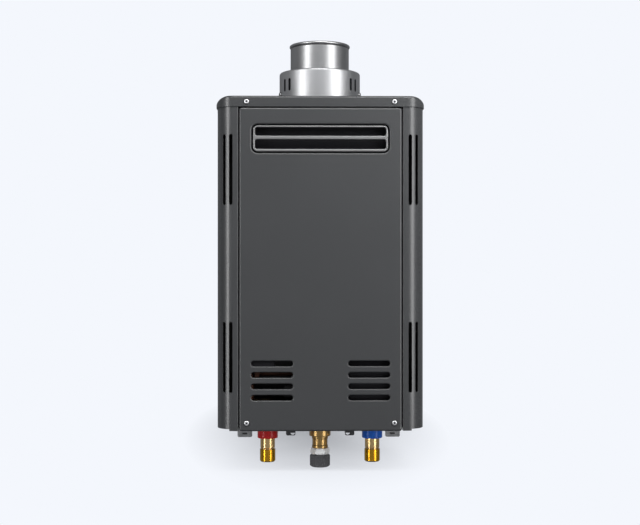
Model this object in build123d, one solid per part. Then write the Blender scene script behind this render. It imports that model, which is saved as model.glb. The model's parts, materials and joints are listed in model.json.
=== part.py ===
from build123d import *
import math
import os

# Outdoor tankless gas water heater, wall hung, millimetres, +Z up.
# The wall is the plane Y = 0 and the front looks along -Y.
# The origin is the middle of the upper bracket's bolt line, on the wall.

# Casing
CASE_WIDTH = 346.0
CASE_DEPTH = 190.0
CASE_HEIGHT = 557.4
WALL_GAP = 10.0
BOLT_LINE_ABOVE_CASE = 13.2
SHEET = 1.2
SEAM = 0.3
CORNER_R = 30.0
PANEL_FLAT = 6.0
RETURN_FLANGE = 14.0
PANEL_FOOT_STEP = 3.0
PANEL_FOOT_ANGLE = 17.0

# Slots down the two front corners
CORNER_SLOT_LENGTH = 117.5
CORNER_SLOT_WIDTH = 6.0
CORNER_SLOT_ANGLES = (12.3, 36.0)
CORNER_SLOT_SPREAD = 156.2

# Top cap
CAP_OVERHANG = 2.0
CAP_SKIRT = 19.3
CAP_EDGE_R = 2.0
CAP_END_RUN = 23.0
CAP_END_FALL = 11.5
NECK_HEIGHT = 16.0

# Floor of the casing
FLOOR_RISE = 3.5
FLOOR_SHEET = 1.5
FLOOR_LIP = 16.0

# Back panel
RIB_WIDTH = 16.0
RIB_LENGTH = 330.0
RIB_DEPTH = 2.0
RIB_PITCH = 84.0

# Front cover
COVER_GAP = 2.0
COVER_TOP_GAP = 1.5
COVER_FLANGE = 14.0
COVER_BEND_R = 2.0
LOW_SLOT_LENGTH = 69.5
LOW_SLOT_HEIGHT = 9.0
LOW_SLOT_PITCH = 18.95
LOW_SLOT_ROWS = 4
LOW_SLOT_OFFSET = 80.85
LOW_SLOT_FIRST_RISE = 55.9

# Louver in the front cover
LOUVER_WIDTH = 224.8
LOUVER_HEIGHT = 43.0
LOUVER_DROP = 70.9
LOUVER_CORNER_R = 7.5
LOUVER_GROOVE = 2.5
LOUVER_LIP = 2.0
LOUVER_SETBACK = 1.5
LOUVER_DEPTH = 9.0
LOUVER_SLOT_WIDTH = 218.8
LOUVER_SLOT_R = 4.2
LOUVER_RIM_TOP = 2.6
LOUVER_BAR = 5.4
LOUVER_UPPER_SLOT = 14.4
LOUVER_LOWER_SLOT = 16.4
BAFFLE_DEPTH = 18.0

# Screws
SCREW_SPACING = 246.0
SCREW_HEAD_R = 4.25
SCREW_HEAD = 3.0
SCREW_SIDES = 12
CAP_SCREW_DROP = 10.2
CAP_SIDE_SCREW_DROP = 15.0
COVER_SCREW_RISE = 14.0

# Flue on the top
FLUE_OFFSET = 95.0
FLUE_PIPE_R = 50.8
FLUE_PIPE_WALL = 1.0
FLUE_PIPE_TOP = 87.0
FLUE_BEAD = 1.7
COLLAR_R = 70.0
COLLAR_WALL = 1.2
COLLAR_TOP = 38.0
COLLAR_EDGE = 2.0
COLLAR_BORE_R = 52.8
COLLAR_SLOT_WIDTH = 5.5
COLLAR_SLOT_HEIGHT = 21.5
COLLAR_SLOT_MID = 13.2
COLLAR_SLOT_ANGLES = (48.4, 59.6)
COLLAR_SCREW_ANGLE = 75.0
COLLAR_SCREW_RISE = 12.2
PIPE_OVERLAP = 30.0

# Wall brackets
BRACKET_SHEET = 1.6
UPPER_BRACKET_WIDTH = 240.0
UPPER_BRACKET_TOP = 10.0
UPPER_BRACKET_FOOT = -60.0
UPPER_BOLT_SPACING = 180.0
UPPER_BOLT_R = 4.0
LOWER_BRACKET_SPAN = 298.0
LOWER_LEG_WIDTH = 27.0
LOWER_BRACKET_DROP = 40.0
LOWER_SLOT_SPACING = 271.0
LOWER_SLOT_LENGTH = 10.5
LOWER_SLOT_R = 2.2
LOWER_SLOT_RISE = 6.6

# Lugs under the floor
LUG_OFFSET = 50.0
LUG_WIDTH = 16.0
LUG_DROP = 16.9
LUG_SHEET = 2.0
LUG_HOLE_R = 3.8
LUG_HOLE_SHIFT = 3.4
LUG_DEPTH_IN = 40.0

# Pipe fittings
FITTING_DEPTH_IN = 70.0
FITTING_OFFSET = 90.0
THREAD_R = 13.335
THREAD_LENGTH = 21.5
THREAD_CHAMFER = 1.5
WATER_BORE_R = 9.0
NECK_R = 12.5
NECK_DROP = 38.4
GROOVE = 2.0
GROOVE_R = 11.4
MARKER_R = 17.5
MARKER_DROP = 21.4
SEAT_RISE = 8.0
GAS_FLANGE_R = 18.25
GAS_FLANGE_DROP = 17.9
GAS_BODY_R = 13.75
STEEL_NUT_FLATS = 28.3
STEEL_NUT_HEIGHT = 11.0
BLACK_NUT_FLATS = 30.0
BLACK_NUT_HEIGHT = 21.4
NUT_CHAMFER = 1.6
GAS_THREAD_R = 10.5

# Burner and heat exchanger stack
STACK_WIDTH = 210.0
STACK_DEPTH = 120.0
STACK_WALL = 1.5
HOOD_HEIGHT = 66.0
HOOD_TOP_DROP = 76.0
SPIGOT_TOP_DROP = 34.0
SPIGOT_FIT = 0.2
EXCHANGER_HEIGHT = 64.0
BURNER_HEIGHT = 80.0
PLENUM_HEIGHT = 30.0
STACK_FLANGE = 6.0
TUBE_WIDTH = 20.0
TUBE_HEIGHT = 14.0
TUBE_COUNT = 4
FIN_COUNT = 12
HEADER_THICK = 24.0
BURNER_BARS = 9
BURNER_PITCH = 21.5
BURNER_THICK = 9.0
BURNER_BODY = 28.0
BURNER_CREST_DROP = 8.0
MANIFOLD_SIZE = 14.0
NOZZLE_LENGTH = 10.0
NOZZLE_FLATS = 8.0
STACK_BRACKET_WIDTH = 26.0
STACK_HEADROOM = 5.6
PROBE_RISE = 14.0
NOZZLE_RISE = 18.0
SWITCH_OFFSET = 60.0
SWITCH_R = 8.0

# Fan
FAN_GAP = 2.0
FAN_HOUSING_R = 50.0
FAN_HOUSING_DEPTH = 44.0
FAN_WALL = 2.0
FAN_BACK_GAP = 36.0
IMPELLER_R = 40.0
IMPELLER_DEPTH = 32.0
IMPELLER_BLADES = 18
FAN_INLET_R = 30.0
FAN_SHAFT_R = 4.0
RUNNING_FIT = 0.05
MOTOR_R = 26.0
MOTOR_LENGTH = 22.0

# Water path
SENSOR_SIZE = 30.0
SENSOR_HEIGHT = 40.0
SENSOR_BORE_R = 9.5
SENSOR_FLOOR = 6.0
TURBINE_R = 8.6
TURBINE_SHAFT_R = 1.8
TURBINE_HEIGHT = 12.0
TURBINE_BLADES = 4
VALVE_SIZE = 32.0
VALVE_HEIGHT = 44.0
ROTOR_R = 7.0
VALVE_MOTOR_LENGTH = 12.0
WATER_PIPE_R = 7.0
BYPASS_R = 4.0
RISER_GAP = 1.5

# Gas path
GAS_VALVE_WIDTH = 56.0
GAS_VALVE_DEPTH = 74.0
GAS_VALVE_HEIGHT = 66.0
SOLENOID_R = 12.0
SOLENOID_LENGTH = 34.0
SOLENOID_PITCH = 30.0
PLUNGER_R = 5.0
PLUNGER_LENGTH = 24.0
PLUNGER_SEAT = 2.0
SLIDE_FIT = 0.2
GAS_RISER_R = 7.0
GAS_VALVE_REACH = 4.0

# Electrical
BOX_VALVE_GAP = 12.3
BOX_HEIGHT = 88.0
BOX_DEPTH = 26.0
BOX_WALL = 2.0
BOX_SIDE_GAP = 1.5
BOX_FRONT_GAP = 12.5
BOX_FOOT_RISE = 30.0
BOARD_THICK = 1.6
BOARD_GAP = 3.0
BOARD_POST = 4.0
RELAY_SIZE = 22.0
RELAY_HEIGHT = 13.0
SOCKET_HEIGHT = 8.0
SPARK_WIDTH = 44.0
SPARK_HEIGHT = 54.0
SPARK_DEPTH = 30.0
SPARK_OVERHANG = 15.0
PROBE_R = 3.5
PROBE_ROD = 2.0
PROBE_SPACING = 26.0
PROBE_SLEEVE = 24.0
PROBE_WIRE = 50.0

# Places worked out from the sizes
BACK_Y = -WALL_GAP
FRONT_Y = BACK_Y - CASE_DEPTH
TOP_Z = -BOLT_LINE_ABOVE_CASE
BOTTOM_Z = TOP_Z - CASE_HEIGHT
HALF = CASE_WIDTH / 2
CORNER_X = HALF - CORNER_R
CORNER_Y = FRONT_Y + CORNER_R
RETURN_X = CORNER_X - PANEL_FLAT
INSIDE_X = HALF - SHEET
SKIRT_Z = TOP_Z - CAP_SKIRT
CAP_END_R = (CAP_END_RUN**2 + CAP_END_FALL**2) / (2 * CAP_END_FALL)
CAP_END_X = HALF + CAP_OVERHANG - CAP_END_RUN
PANEL_TOP = TOP_Z - CAP_END_FALL - SEAM
COVER_HALF = RETURN_X - COVER_GAP
COVER_TOP = SKIRT_Z - COVER_TOP_GAP
FLOOR_Z = BOTTOM_Z + FLOOR_RISE
FLOOR_TOP = FLOOR_Z + FLOOR_SHEET
FLUE_Y = BACK_Y - FLUE_OFFSET
FITTING_Y = FRONT_Y + FITTING_DEPTH_IN
LOUVER_Z = TOP_Z - LOUVER_DROP
SCREW_X = SCREW_SPACING / 2
CAP_SCREW_Z = TOP_Z - CAP_SCREW_DROP
CAP_SIDE_SCREW_Z = TOP_Z - CAP_SIDE_SCREW_DROP
LOUVER_BACK = FRONT_Y + LOUVER_SETBACK + LOUVER_DEPTH
COLLAR_SLOTS = [s * a for a in COLLAR_SLOT_ANGLES for s in (-1, 1)]
COLLAR_SLOTS += [180 - a for a in COLLAR_SLOTS]
COLLAR_SCREWS = [s * a for a in (COLLAR_SCREW_ANGLE, 180 - COLLAR_SCREW_ANGLE) for s in (-1, 1)]
COVER_SCREW_Z = BOTTOM_Z + COVER_SCREW_RISE
NECK_R_OUT = COLLAR_R - COLLAR_WALL - SPIGOT_FIT
LIP_Y = FRONT_Y + SHEET + SEAM
HOOD_TOP = TOP_Z - HOOD_TOP_DROP
HOOD_FOOT = HOOD_TOP - HOOD_HEIGHT
EXCHANGER_FOOT = HOOD_FOOT - EXCHANGER_HEIGHT
BOX_FOOT = FLOOR_TOP + BOX_FOOT_RISE
PLENUM_FOOT = BOX_FOOT + BOX_HEIGHT + STACK_HEADROOM
BURNER_FOOT = PLENUM_FOOT + PLENUM_HEIGHT
CHAMBER_FOOT = BURNER_FOOT + BURNER_HEIGHT
CHAMBER_HEIGHT = EXCHANGER_FOOT - CHAMBER_FOOT
SPIGOT_TOP = TOP_Z - SPIGOT_TOP_DROP
STACK_X = STACK_WIDTH / 2
STACK_FRONT = FLUE_Y - STACK_DEPTH / 2
STACK_BACK = FLUE_Y + STACK_DEPTH / 2
FAN_Z = PLENUM_FOOT - FAN_GAP - FAN_HOUSING_R
FAN_BACK = BACK_Y - FAN_BACK_GAP
FAN_FRONT = FAN_BACK - FAN_HOUSING_DEPTH
SEAT_TOP = FLOOR_TOP + SEAT_RISE
SENSOR_FOOT = SEAT_TOP
VALVE_FOOT = SENSOR_FOOT + SENSOR_HEIGHT
RISER_OFFSET = STACK_X + STACK_FLANGE + RISER_GAP + WATER_PIPE_R
TUBE_PITCH = STACK_DEPTH / TUBE_COUNT
TUBE_Z = (HOOD_FOOT + EXCHANGER_FOOT) / 2
GAS_VALVE_FOOT = SEAT_TOP
GAS_VALVE_TOP = GAS_VALVE_FOOT + GAS_VALVE_HEIGHT
GAS_VALVE_BACK = FITTING_Y + GAS_BODY_R + GAS_VALVE_REACH
GAS_VALVE_FRONT = GAS_VALVE_BACK - GAS_VALVE_DEPTH
MANIFOLD_Y = STACK_FRONT - NOZZLE_LENGTH - MANIFOLD_SIZE / 2
MANIFOLD_Z = BURNER_FOOT + NOZZLE_RISE
BOX_RIGHT = COVER_HALF - SHEET - BOX_SIDE_GAP
BOX_WIDTH = BOX_RIGHT - GAS_VALVE_WIDTH / 2 - BOX_VALVE_GAP
BOX_MIDDLE = BOX_RIGHT - BOX_WIDTH / 2
BOX_FRONT = FRONT_Y + SHEET + BOX_FRONT_GAP
BOX_BACK = BOX_FRONT + BOX_DEPTH
VALVE_Z = VALVE_FOOT + VALVE_HEIGHT / 2
PROBE_Z = CHAMBER_FOOT + PROBE_RISE
SOLENOID_Y = (GAS_VALVE_FRONT + GAS_VALVE_BACK) / 2


def block(x, y, z):
    """A box between the low and high value on each axis."""
    size = [high - low for low, high in (x, y, z)]
    middle = [(high + low) / 2 for low, high in (x, y, z)]
    return Pos(*middle) * Box(*size)


def rod(radius, low, high, x=0.0, y=0.0, z=0.0, along="z"):
    """A cylinder from low to high on one axis; the other two places are given."""
    length = high - low
    middle = (low + high) / 2
    if along == "x":
        return Pos(middle, y, z) * Rot(0, 90, 0) * Cylinder(radius, length)
    if along == "y":
        return Pos(x, middle, z) * Rot(90, 0, 0) * Cylinder(radius, length)
    return Pos(x, y, middle) * Cylinder(radius, length)


def ring(outer, inner, low, high, x=0.0, y=0.0, z=0.0, along="z"):
    """A tube from low to high on one axis."""
    bore = rod(inner, low - 1, high + 1, x, y, z, along)
    return rod(outer, low, high, x, y, z, along) - bore


def turned(points, x, y):
    """A solid turned about a vertical axis from (radius, height) points."""
    wire = Polyline(*[(radius, 0, height) for radius, height in points], close=True)
    return Pos(x, y, 0) * revolve(make_face(wire), Axis.Z)


def corner(sketch, x_end, y_end, radius):
    """Rounds one corner of a sketch; -1 and 1 pick the low or high end of X and Y."""
    picked = sorted(sketch.vertices(), key=lambda v: -(x_end * v.X + y_end * v.Y))[0]
    return fillet(picked, radius)


def plan(x_low, x_high, y_low, y_high):
    """A rectangle seen from above."""
    middle = Pos((x_low + x_high) / 2, (y_low + y_high) / 2)
    return middle * Rectangle(x_high - x_low, y_high - y_low)


def rounded_front(half, y_low, y_high, radius):
    """A rectangle seen from above with both front corners rounded."""
    left = corner(plan(-half, half, y_low, y_high), -1, -1, radius)
    return corner(left, 1, -1, radius)


def front_plane(y):
    """The plane seen from the front at one depth, with X right and Z up."""
    return Plane(origin=(0, y, 0), x_dir=(1, 0, 0), z_dir=(0, -1, 0))


def front_plate(width, height, radius, z, y_front, y_back):
    """A plate seen from the front with rounded corners."""
    face = front_plane(y_front) * Pos(0, z) * RectangleRounded(width, height, radius)
    return extrude(face, amount=-(y_back - y_front))


def front_slot(length, height, x, z, y_front, y_back):
    """A round-ended slot cutter seen from the front."""
    face = front_plane(y_front) * Pos(x, z) * SlotOverall(length, height)
    return extrude(face, amount=-(y_back - y_front))


def mirrored(shape):
    """The left-hand twin of a right-hand piece."""
    return mirror(shape, about=Plane.YZ)


def screw(point, outward):
    """A low screw head with few faces that sits on a face at a point and faces outward."""
    seat = Plane(origin=point, z_dir=outward)
    return extrude(seat * RegularPolygon(SCREW_HEAD_R, SCREW_SIDES), SCREW_HEAD)


def radial_plane(angle, z):
    """An upright plane through the flue's axis that looks out at an angle from the front."""
    lean = math.radians(angle)
    return Plane(
        origin=(0, FLUE_Y, z), x_dir=(0, 0, 1), z_dir=(math.sin(lean), -math.cos(lean), 0)
    )


def around_flue(angle, radius, z):
    """A point on a circle round the flue, and the outward direction there."""
    lean = math.radians(angle)
    outward = (math.sin(lean), -math.cos(lean), 0)
    return (radius * outward[0], FLUE_Y + radius * outward[1], z), outward


def open_box(half_x, y_low, y_high, z_low, z_high, wall):
    """A four-walled sheet duct, open at the top and the foot."""
    outside = block((-half_x, half_x), (y_low, y_high), (z_low, z_high))
    x_in = (wall - half_x, half_x - wall)
    return outside - block(x_in, (y_low + wall, y_high - wall), (z_low - 1, z_high + 1))


def stack_flange(z_low, z_high):
    """The outward rim where two parts of the stack are bolted together."""
    reach = STACK_X + STACK_FLANGE
    y_out = (STACK_FRONT - STACK_FLANGE, STACK_BACK + STACK_FLANGE)
    rim = block((-reach, reach), y_out, (z_low, z_high))
    inner = STACK_X - STACK_WALL
    y_in = (STACK_FRONT + STACK_WALL, STACK_BACK - STACK_WALL)
    return rim - block((-inner, inner), y_in, (z_low - 1, z_high + 1))


# Casing


def corner_slot_cutters():
    """Cutters for the four upright slots on the right-hand front corner."""
    middle = TOP_Z - CASE_HEIGHT / 2
    cutters = []
    for angle in CORNER_SLOT_ANGLES:
        lean = math.radians(angle)
        outward = (math.sin(lean), -math.cos(lean), 0)
        x = CORNER_X + CORNER_R * outward[0]
        y = CORNER_Y + CORNER_R * outward[1]
        for z in (middle - CORNER_SLOT_SPREAD, middle + CORNER_SLOT_SPREAD):
            face = Plane(origin=(x, y, z), x_dir=(0, 0, 1), z_dir=outward)
            cutters.append(face * Box(CORNER_SLOT_LENGTH, CORNER_SLOT_WIDTH, 8 * SHEET))
    return cutters


def right_side_panel():
    """A side sheet bent round the front corner and back in a return flange."""
    outer = corner(plan(RETURN_X, HALF, FRONT_Y, BACK_Y), 1, -1, CORNER_R)
    inner = plan(RETURN_X + SHEET, INSIDE_X, FRONT_Y + SHEET, BACK_Y + 1)
    inner = corner(inner, 1, -1, CORNER_R - SHEET)
    behind = plan(RETURN_X - 1, RETURN_X + SHEET, FRONT_Y + RETURN_FLANGE, BACK_Y + 1)
    height = PANEL_TOP - BOTTOM_Z
    panel = Pos(0, 0, BOTTOM_Z) * extrude(outer - inner - behind, height)
    for cutter in corner_slot_cutters():
        panel -= cutter
    step_x = CORNER_X + CORNER_R * math.sin(math.radians(PANEL_FOOT_ANGLE))
    foot = (BOTTOM_Z - 1, BOTTOM_Z + PANEL_FOOT_STEP)
    panel -= block((step_x, HALF + 1), (FRONT_Y - 1, BACK_Y + 1), foot)
    skirt_y = (BACK_Y - SHEET - SEAM, BACK_Y + 1)
    return panel - block((INSIDE_X - 1, HALF + 1), skirt_y, (SKIRT_Z - SEAM, PANEL_TOP + 1))


def rear_panel():
    """The back sheet with forward side flanges, a top lip and pressed ribs."""
    half = INSIDE_X - SEAM
    foot = FLOOR_TOP + SEAM
    top = SKIRT_Z - SEAM
    panel = block((-half, half), (BACK_Y - SHEET, BACK_Y), (foot, top))
    for x in ((-half, SHEET - half), (half - SHEET, half)):
        panel += block(x, (BACK_Y - RETURN_FLANGE, BACK_Y), (foot, top))
    lip_half = half - RETURN_FLANGE
    lip_y = (BACK_Y - 2 * SHEET - SEAM, BACK_Y - SHEET - SEAM)
    panel += block((-lip_half, lip_half), lip_y, (top - SHEET, PANEL_TOP))
    weld = (BACK_Y - 2 * SHEET - SEAM, BACK_Y - SHEET)
    panel += block((-lip_half, lip_half), weld, (top - RETURN_FLANGE, top))
    middle = TOP_Z - CASE_HEIGHT / 2
    rib_floor = BACK_Y - SHEET - RIB_DEPTH
    tall = (middle - RIB_LENGTH / 2, middle + RIB_LENGTH / 2)
    groove = (tall[0] + SHEET, tall[1] - SHEET)
    for x in (-RIB_PITCH, 0, RIB_PITCH):
        panel += block((x - RIB_WIDTH / 2, x + RIB_WIDTH / 2), (rib_floor, BACK_Y - SHEET), tall)
        inner = RIB_WIDTH / 2 - SHEET
        panel -= block((x - inner, x + inner), (BACK_Y - RIB_DEPTH, BACK_Y + 1), groove)
    return panel


def floor_pan():
    """The bottom sheet with an upturned front lip, side lips and three pipe holes."""
    edge = CORNER_R - SHEET - SEAM
    outline = rounded_front(INSIDE_X - SEAM, LIP_Y, BACK_Y, edge)
    pan = Pos(0, 0, FLOOR_Z) * extrude(outline, FLOOR_SHEET)
    rise = (FLOOR_Z, FLOOR_TOP + FLOOR_LIP)
    lip_half = COVER_HALF - COVER_BEND_R - 2 * SEAM
    pan += block((-lip_half, lip_half), (LIP_Y, LIP_Y + SHEET), rise)
    side = (INSIDE_X - SEAM - SHEET, INSIDE_X - SEAM)
    side_y = (CORNER_Y + SHEET, BACK_Y - RETURN_FLANGE - SEAM)
    lip = block(side, side_y, rise)
    pan += lip + mirrored(lip)
    for x in (-FITTING_OFFSET, FITTING_OFFSET):
        pan -= rod(NECK_R + SEAM, FLOOR_Z - 1, FLOOR_TOP + 1, x, FITTING_Y)
    pan -= rod(GAS_BODY_R + SEAM, FLOOR_Z - 1, FLOOR_TOP + 1, 0, FITTING_Y)
    notch_x = (COVER_HALF - COVER_BEND_R - SEAM, RETURN_X + SHEET + SEAM)
    notch_y = (LIP_Y - 1, FRONT_Y + RETURN_FLANGE + SEAM)
    notch = block(notch_x, notch_y, (FLOOR_Z - 1, FLOOR_TOP + 1))
    pan -= notch + mirrored(notch)
    return pan


def top_crossbar():
    """The folded bar behind the cap's skirt that ties the two side panels."""
    half = RETURN_X - SEAM
    front = FRONT_Y - CAP_OVERHANG + SHEET + SEAM
    foot = SKIRT_Z + 1.0
    bar = block((-half, half), (front, front + SHEET), (foot, PANEL_TOP))
    bar += block((-half, half), (front, FRONT_Y + RETURN_FLANGE - 2.0), (foot, foot + SHEET))
    return bar


def top_seal():
    """A soft strip under the crossbar that closes the gap over the front cover."""
    half = COVER_HALF - CORNER_R / 2
    y = (FRONT_Y + 2 * SHEET, FRONT_Y + RETURN_FLANGE - 3.0)
    return block((-half, half), y, (COVER_TOP + SEAM, SKIRT_Z + 1.0))


def cap_form(inset):
    """The cap's outer or inner block: round front corners and a top that falls at both ends."""
    front = FRONT_Y - CAP_OVERHANG + inset
    radius = CORNER_R + CAP_OVERHANG - inset
    outline = rounded_front(HALF + CAP_OVERHANG - inset, front, BACK_Y - inset, radius)
    top = TOP_Z - inset
    foot = SKIRT_Z - inset
    ends_r = CAP_END_R - inset
    size = (2 * (CAP_END_X + ends_r), 3 * ends_r, ends_r, top - 1.5 * ends_r)
    ends = front_plate(*size, front - 1, BACK_Y + 1)
    return (Pos(0, 0, foot) * extrude(outline, top - foot)) & ends


def top_cap():
    """The drawn lid with a bent edge, a skirt all round and a neck for the flue."""
    outside = cap_form(0)
    front = outside.faces().sort_by(Axis.Y)[0]
    cap = fillet(front.edges().sort_by(Axis.Z)[-1], CAP_EDGE_R)
    cap -= cap_form(SHEET)
    cap += rod(NECK_R_OUT, TOP_Z - SHEET, TOP_Z + NECK_HEIGHT, 0, FLUE_Y)
    return cap - rod(NECK_R_OUT - SHEET, TOP_Z - 2 * SHEET, TOP_Z + NECK_HEIGHT + 1, 0, FLUE_Y)


def front_cover():
    """The pan-shaped cover with its louver recess and lower slots."""
    back = FRONT_Y + COVER_FLANGE
    wide = (-COVER_HALF, COVER_HALF)
    cover = block(wide, (FRONT_Y, back), (BOTTOM_Z, COVER_TOP))
    cover = fillet(cover.faces().sort_by(Axis.Y)[0].edges(), COVER_BEND_R)
    inside = (SHEET - COVER_HALF, COVER_HALF - SHEET)
    hollow = block(inside, (FRONT_Y + SHEET, back + 1), (BOTTOM_Z + SHEET, COVER_TOP - SHEET))
    cover -= chamfer(hollow.faces().sort_by(Axis.Y)[0].edges(), COVER_BEND_R - SHEET)
    hole_w = LOUVER_WIDTH + 2 * LOUVER_GROOVE
    hole_h = LOUVER_HEIGHT + 2 * LOUVER_GROOVE
    hole_r = LOUVER_CORNER_R + LOUVER_GROOVE
    wall = 2 * (LOUVER_LIP + SHEET)
    recess = (hole_w + wall, hole_h + wall, hole_r + wall / 2, LOUVER_Z)
    cover += front_plate(*recess, FRONT_Y + SHEET, LOUVER_BACK)
    recess_hole = front_plate(hole_w, hole_h, hole_r, LOUVER_Z, FRONT_Y, LOUVER_BACK + 1)
    mouth = (hole_w + 2 * LOUVER_LIP, hole_h + 2 * LOUVER_LIP, hole_r + LOUVER_LIP, LOUVER_Z)
    flare = front_plate(*mouth, FRONT_Y, FRONT_Y + LOUVER_LIP)
    cover -= recess_hole + chamfer(flare.faces().sort_by(Axis.Y)[-1].edges(), LOUVER_LIP * 0.99)
    for row in range(LOW_SLOT_ROWS):
        z = BOTTOM_Z + LOW_SLOT_FIRST_RISE + row * LOW_SLOT_PITCH
        for x in (-LOW_SLOT_OFFSET, LOW_SLOT_OFFSET):
            size = (LOW_SLOT_LENGTH, LOW_SLOT_HEIGHT)
            cover -= front_slot(*size, x, z, FRONT_Y - 1, FRONT_Y + SHEET + 1)
    return cover


def front_louver():
    """The bright insert in the cover: a rounded frame with one bar across."""
    front = FRONT_Y + LOUVER_SETBACK
    insert = front_plate(LOUVER_WIDTH, LOUVER_HEIGHT, LOUVER_CORNER_R, LOUVER_Z, front, LOUVER_BACK)
    top = LOUVER_Z + LOUVER_HEIGHT / 2 - LOUVER_RIM_TOP
    upper = top - LOUVER_UPPER_SLOT / 2
    lower = top - LOUVER_UPPER_SLOT - LOUVER_BAR - LOUVER_LOWER_SLOT / 2
    for z, height in ((upper, LOUVER_UPPER_SLOT), (lower, LOUVER_LOWER_SLOT)):
        window = (LOUVER_SLOT_WIDTH, height, LOUVER_SLOT_R, z)
        insert -= front_plate(*window, front - 1, LOUVER_BACK + 1)
    return insert


def louver_baffle():
    """The tray behind the louver that turns rain back out and lets air fall past it."""
    border = LOUVER_GROOVE + LOUVER_LIP + SHEET
    half = LOUVER_WIDTH / 2 + border
    tall = LOUVER_HEIGHT / 2 + border
    back = LOUVER_BACK + BAFFLE_DEPTH
    z = (LOUVER_Z - tall, LOUVER_Z + tall)
    tray = block((-half, half), (LOUVER_BACK, back), z)
    tray = chamfer(tray.faces().sort_by(Axis.Z)[-1].edges().sort_by(Axis.Y)[-1], BAFFLE_DEPTH / 3)
    room_z = (z[0] + SHEET, z[1] - SHEET)
    room_y = (LOUVER_BACK + SHEET, back - BAFFLE_DEPTH / 3 - SHEET)
    tray -= block((SHEET - half, half - SHEET), room_y, room_z)
    window_half = LOUVER_HEIGHT / 2 - LOUVER_RIM_TOP
    window_z = (LOUVER_Z - window_half, LOUVER_Z + window_half)
    window_x = (-LOUVER_SLOT_WIDTH / 2, LOUVER_SLOT_WIDTH / 2)
    tray -= block(window_x, (LOUVER_BACK - 1, LOUVER_BACK + SHEET + 1), window_z)
    vent = (back - 2 * BAFFLE_DEPTH / 3, back - BAFFLE_DEPTH / 3 - SHEET)
    tray -= block((RETURN_FLANGE - half, half - RETURN_FLANGE), vent, (z[0] - 1, z[0] + SHEET + 1))
    return tray


def cover_screws():
    """Two screws at the foot of the cover."""
    found = [screw((x, FRONT_Y, COVER_SCREW_Z), (0, -1, 0)) for x in (-SCREW_X, SCREW_X)]
    return found[0] + found[1]


def cap_screws():
    """Two screws in the front of the cap's skirt and one in each side."""
    front = FRONT_Y - CAP_OVERHANG
    side = screw((HALF + CAP_OVERHANG, FLUE_Y, CAP_SIDE_SCREW_Z), (1, 0, 0))
    group = side + mirrored(side)
    for x in (-SCREW_X, SCREW_X):
        group += screw((x, front, CAP_SCREW_Z), (0, -1, 0))
    return group


def wall_bracket_upper():
    """The folded hanger behind the top of the case, with two wall bolt holes."""
    half = UPPER_BRACKET_WIDTH / 2
    bend = BACK_Y + BRACKET_SHEET
    knee = -UPPER_BRACKET_TOP - BRACKET_SHEET
    rise = WALL_GAP + BRACKET_SHEET
    outline = [
        (0, UPPER_BRACKET_TOP),
        (-BRACKET_SHEET, UPPER_BRACKET_TOP),
        (-BRACKET_SHEET, knee),
        (BACK_Y, knee - rise),
        (BACK_Y, UPPER_BRACKET_FOOT),
        (bend, UPPER_BRACKET_FOOT),
        (bend, knee - rise + BRACKET_SHEET / 2),
        (0, knee + BRACKET_SHEET / 2),
    ]
    bracket = folded(outline, -half, half)
    ends = [e for e in bracket.edges().filter_by(Axis.Y) if e.center().Z > 0]
    bracket = chamfer(ends, UPPER_BRACKET_TOP * 0.6)
    for x in (-UPPER_BOLT_SPACING / 2, UPPER_BOLT_SPACING / 2):
        bracket -= rod(UPPER_BOLT_R, -BRACKET_SHEET - 1, 1, x, along="y")
    return bracket


def folded(outline, x_low, x_high):
    """A strip folded along X from its (depth, height) outline."""
    wire = Polyline(*[(x_low, y, z) for y, z in outline], close=True)
    return extrude(make_face(wire), amount=x_high - x_low, dir=(1, 0, 0))


def wall_bracket_lower():
    """The strip across the foot of the back with two legs that reach the wall."""
    half = LOWER_BRACKET_SPAN / 2
    foot = BOTTOM_Z - LOWER_BRACKET_DROP
    bend = BACK_Y + BRACKET_SHEET
    knee = BOTTOM_Z + 2 * FLOOR_RISE
    strip_top = knee + LOWER_LEG_WIDTH
    bracket = block((-half, half), (BACK_Y, bend), (knee, strip_top))
    outline = [
        (BACK_Y, strip_top),
        (BACK_Y, knee),
        (-BRACKET_SHEET, knee - WALL_GAP - BRACKET_SHEET),
        (-BRACKET_SHEET, foot),
        (0, foot),
        (0, knee - WALL_GAP - BRACKET_SHEET / 2),
        (bend, knee + BRACKET_SHEET / 2),
        (bend, strip_top),
    ]
    leg = folded(outline, half - LOWER_LEG_WIDTH, half)
    cut = front_slot(
        LOWER_SLOT_LENGTH,
        2 * LOWER_SLOT_R,
        LOWER_SLOT_SPACING / 2,
        foot + LOWER_SLOT_RISE,
        -BRACKET_SHEET - 1,
        1,
    )
    leg -= cut
    return bracket + leg + mirrored(leg)


def floor_lugs():
    """Two small folded lugs under the floor, each with a hole near its inner edge."""
    y = FRONT_Y + LUG_DEPTH_IN
    low = FLOOR_Z - LUG_DROP
    x = (LUG_OFFSET - LUG_WIDTH / 2, LUG_OFFSET + LUG_WIDTH / 2)
    lug = block(x, (y, y + LUG_SHEET), (low, FLOOR_Z))
    ends = [e for e in lug.edges().filter_by(Axis.Y) if e.center().Z < low + 1]
    lug = chamfer(ends, LUG_WIDTH / 4)
    lug += block(x, (y, y + LUG_WIDTH), (FLOOR_Z - LUG_SHEET, FLOOR_Z))
    hole_z = low + LUG_HOLE_R + LUG_SHEET / 2
    lug -= rod(LUG_HOLE_R, y - 1, y + LUG_SHEET + 1, LUG_OFFSET - LUG_HOLE_SHIFT, z=hole_z, along="y")
    return lug + mirrored(lug)


# Flue


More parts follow.
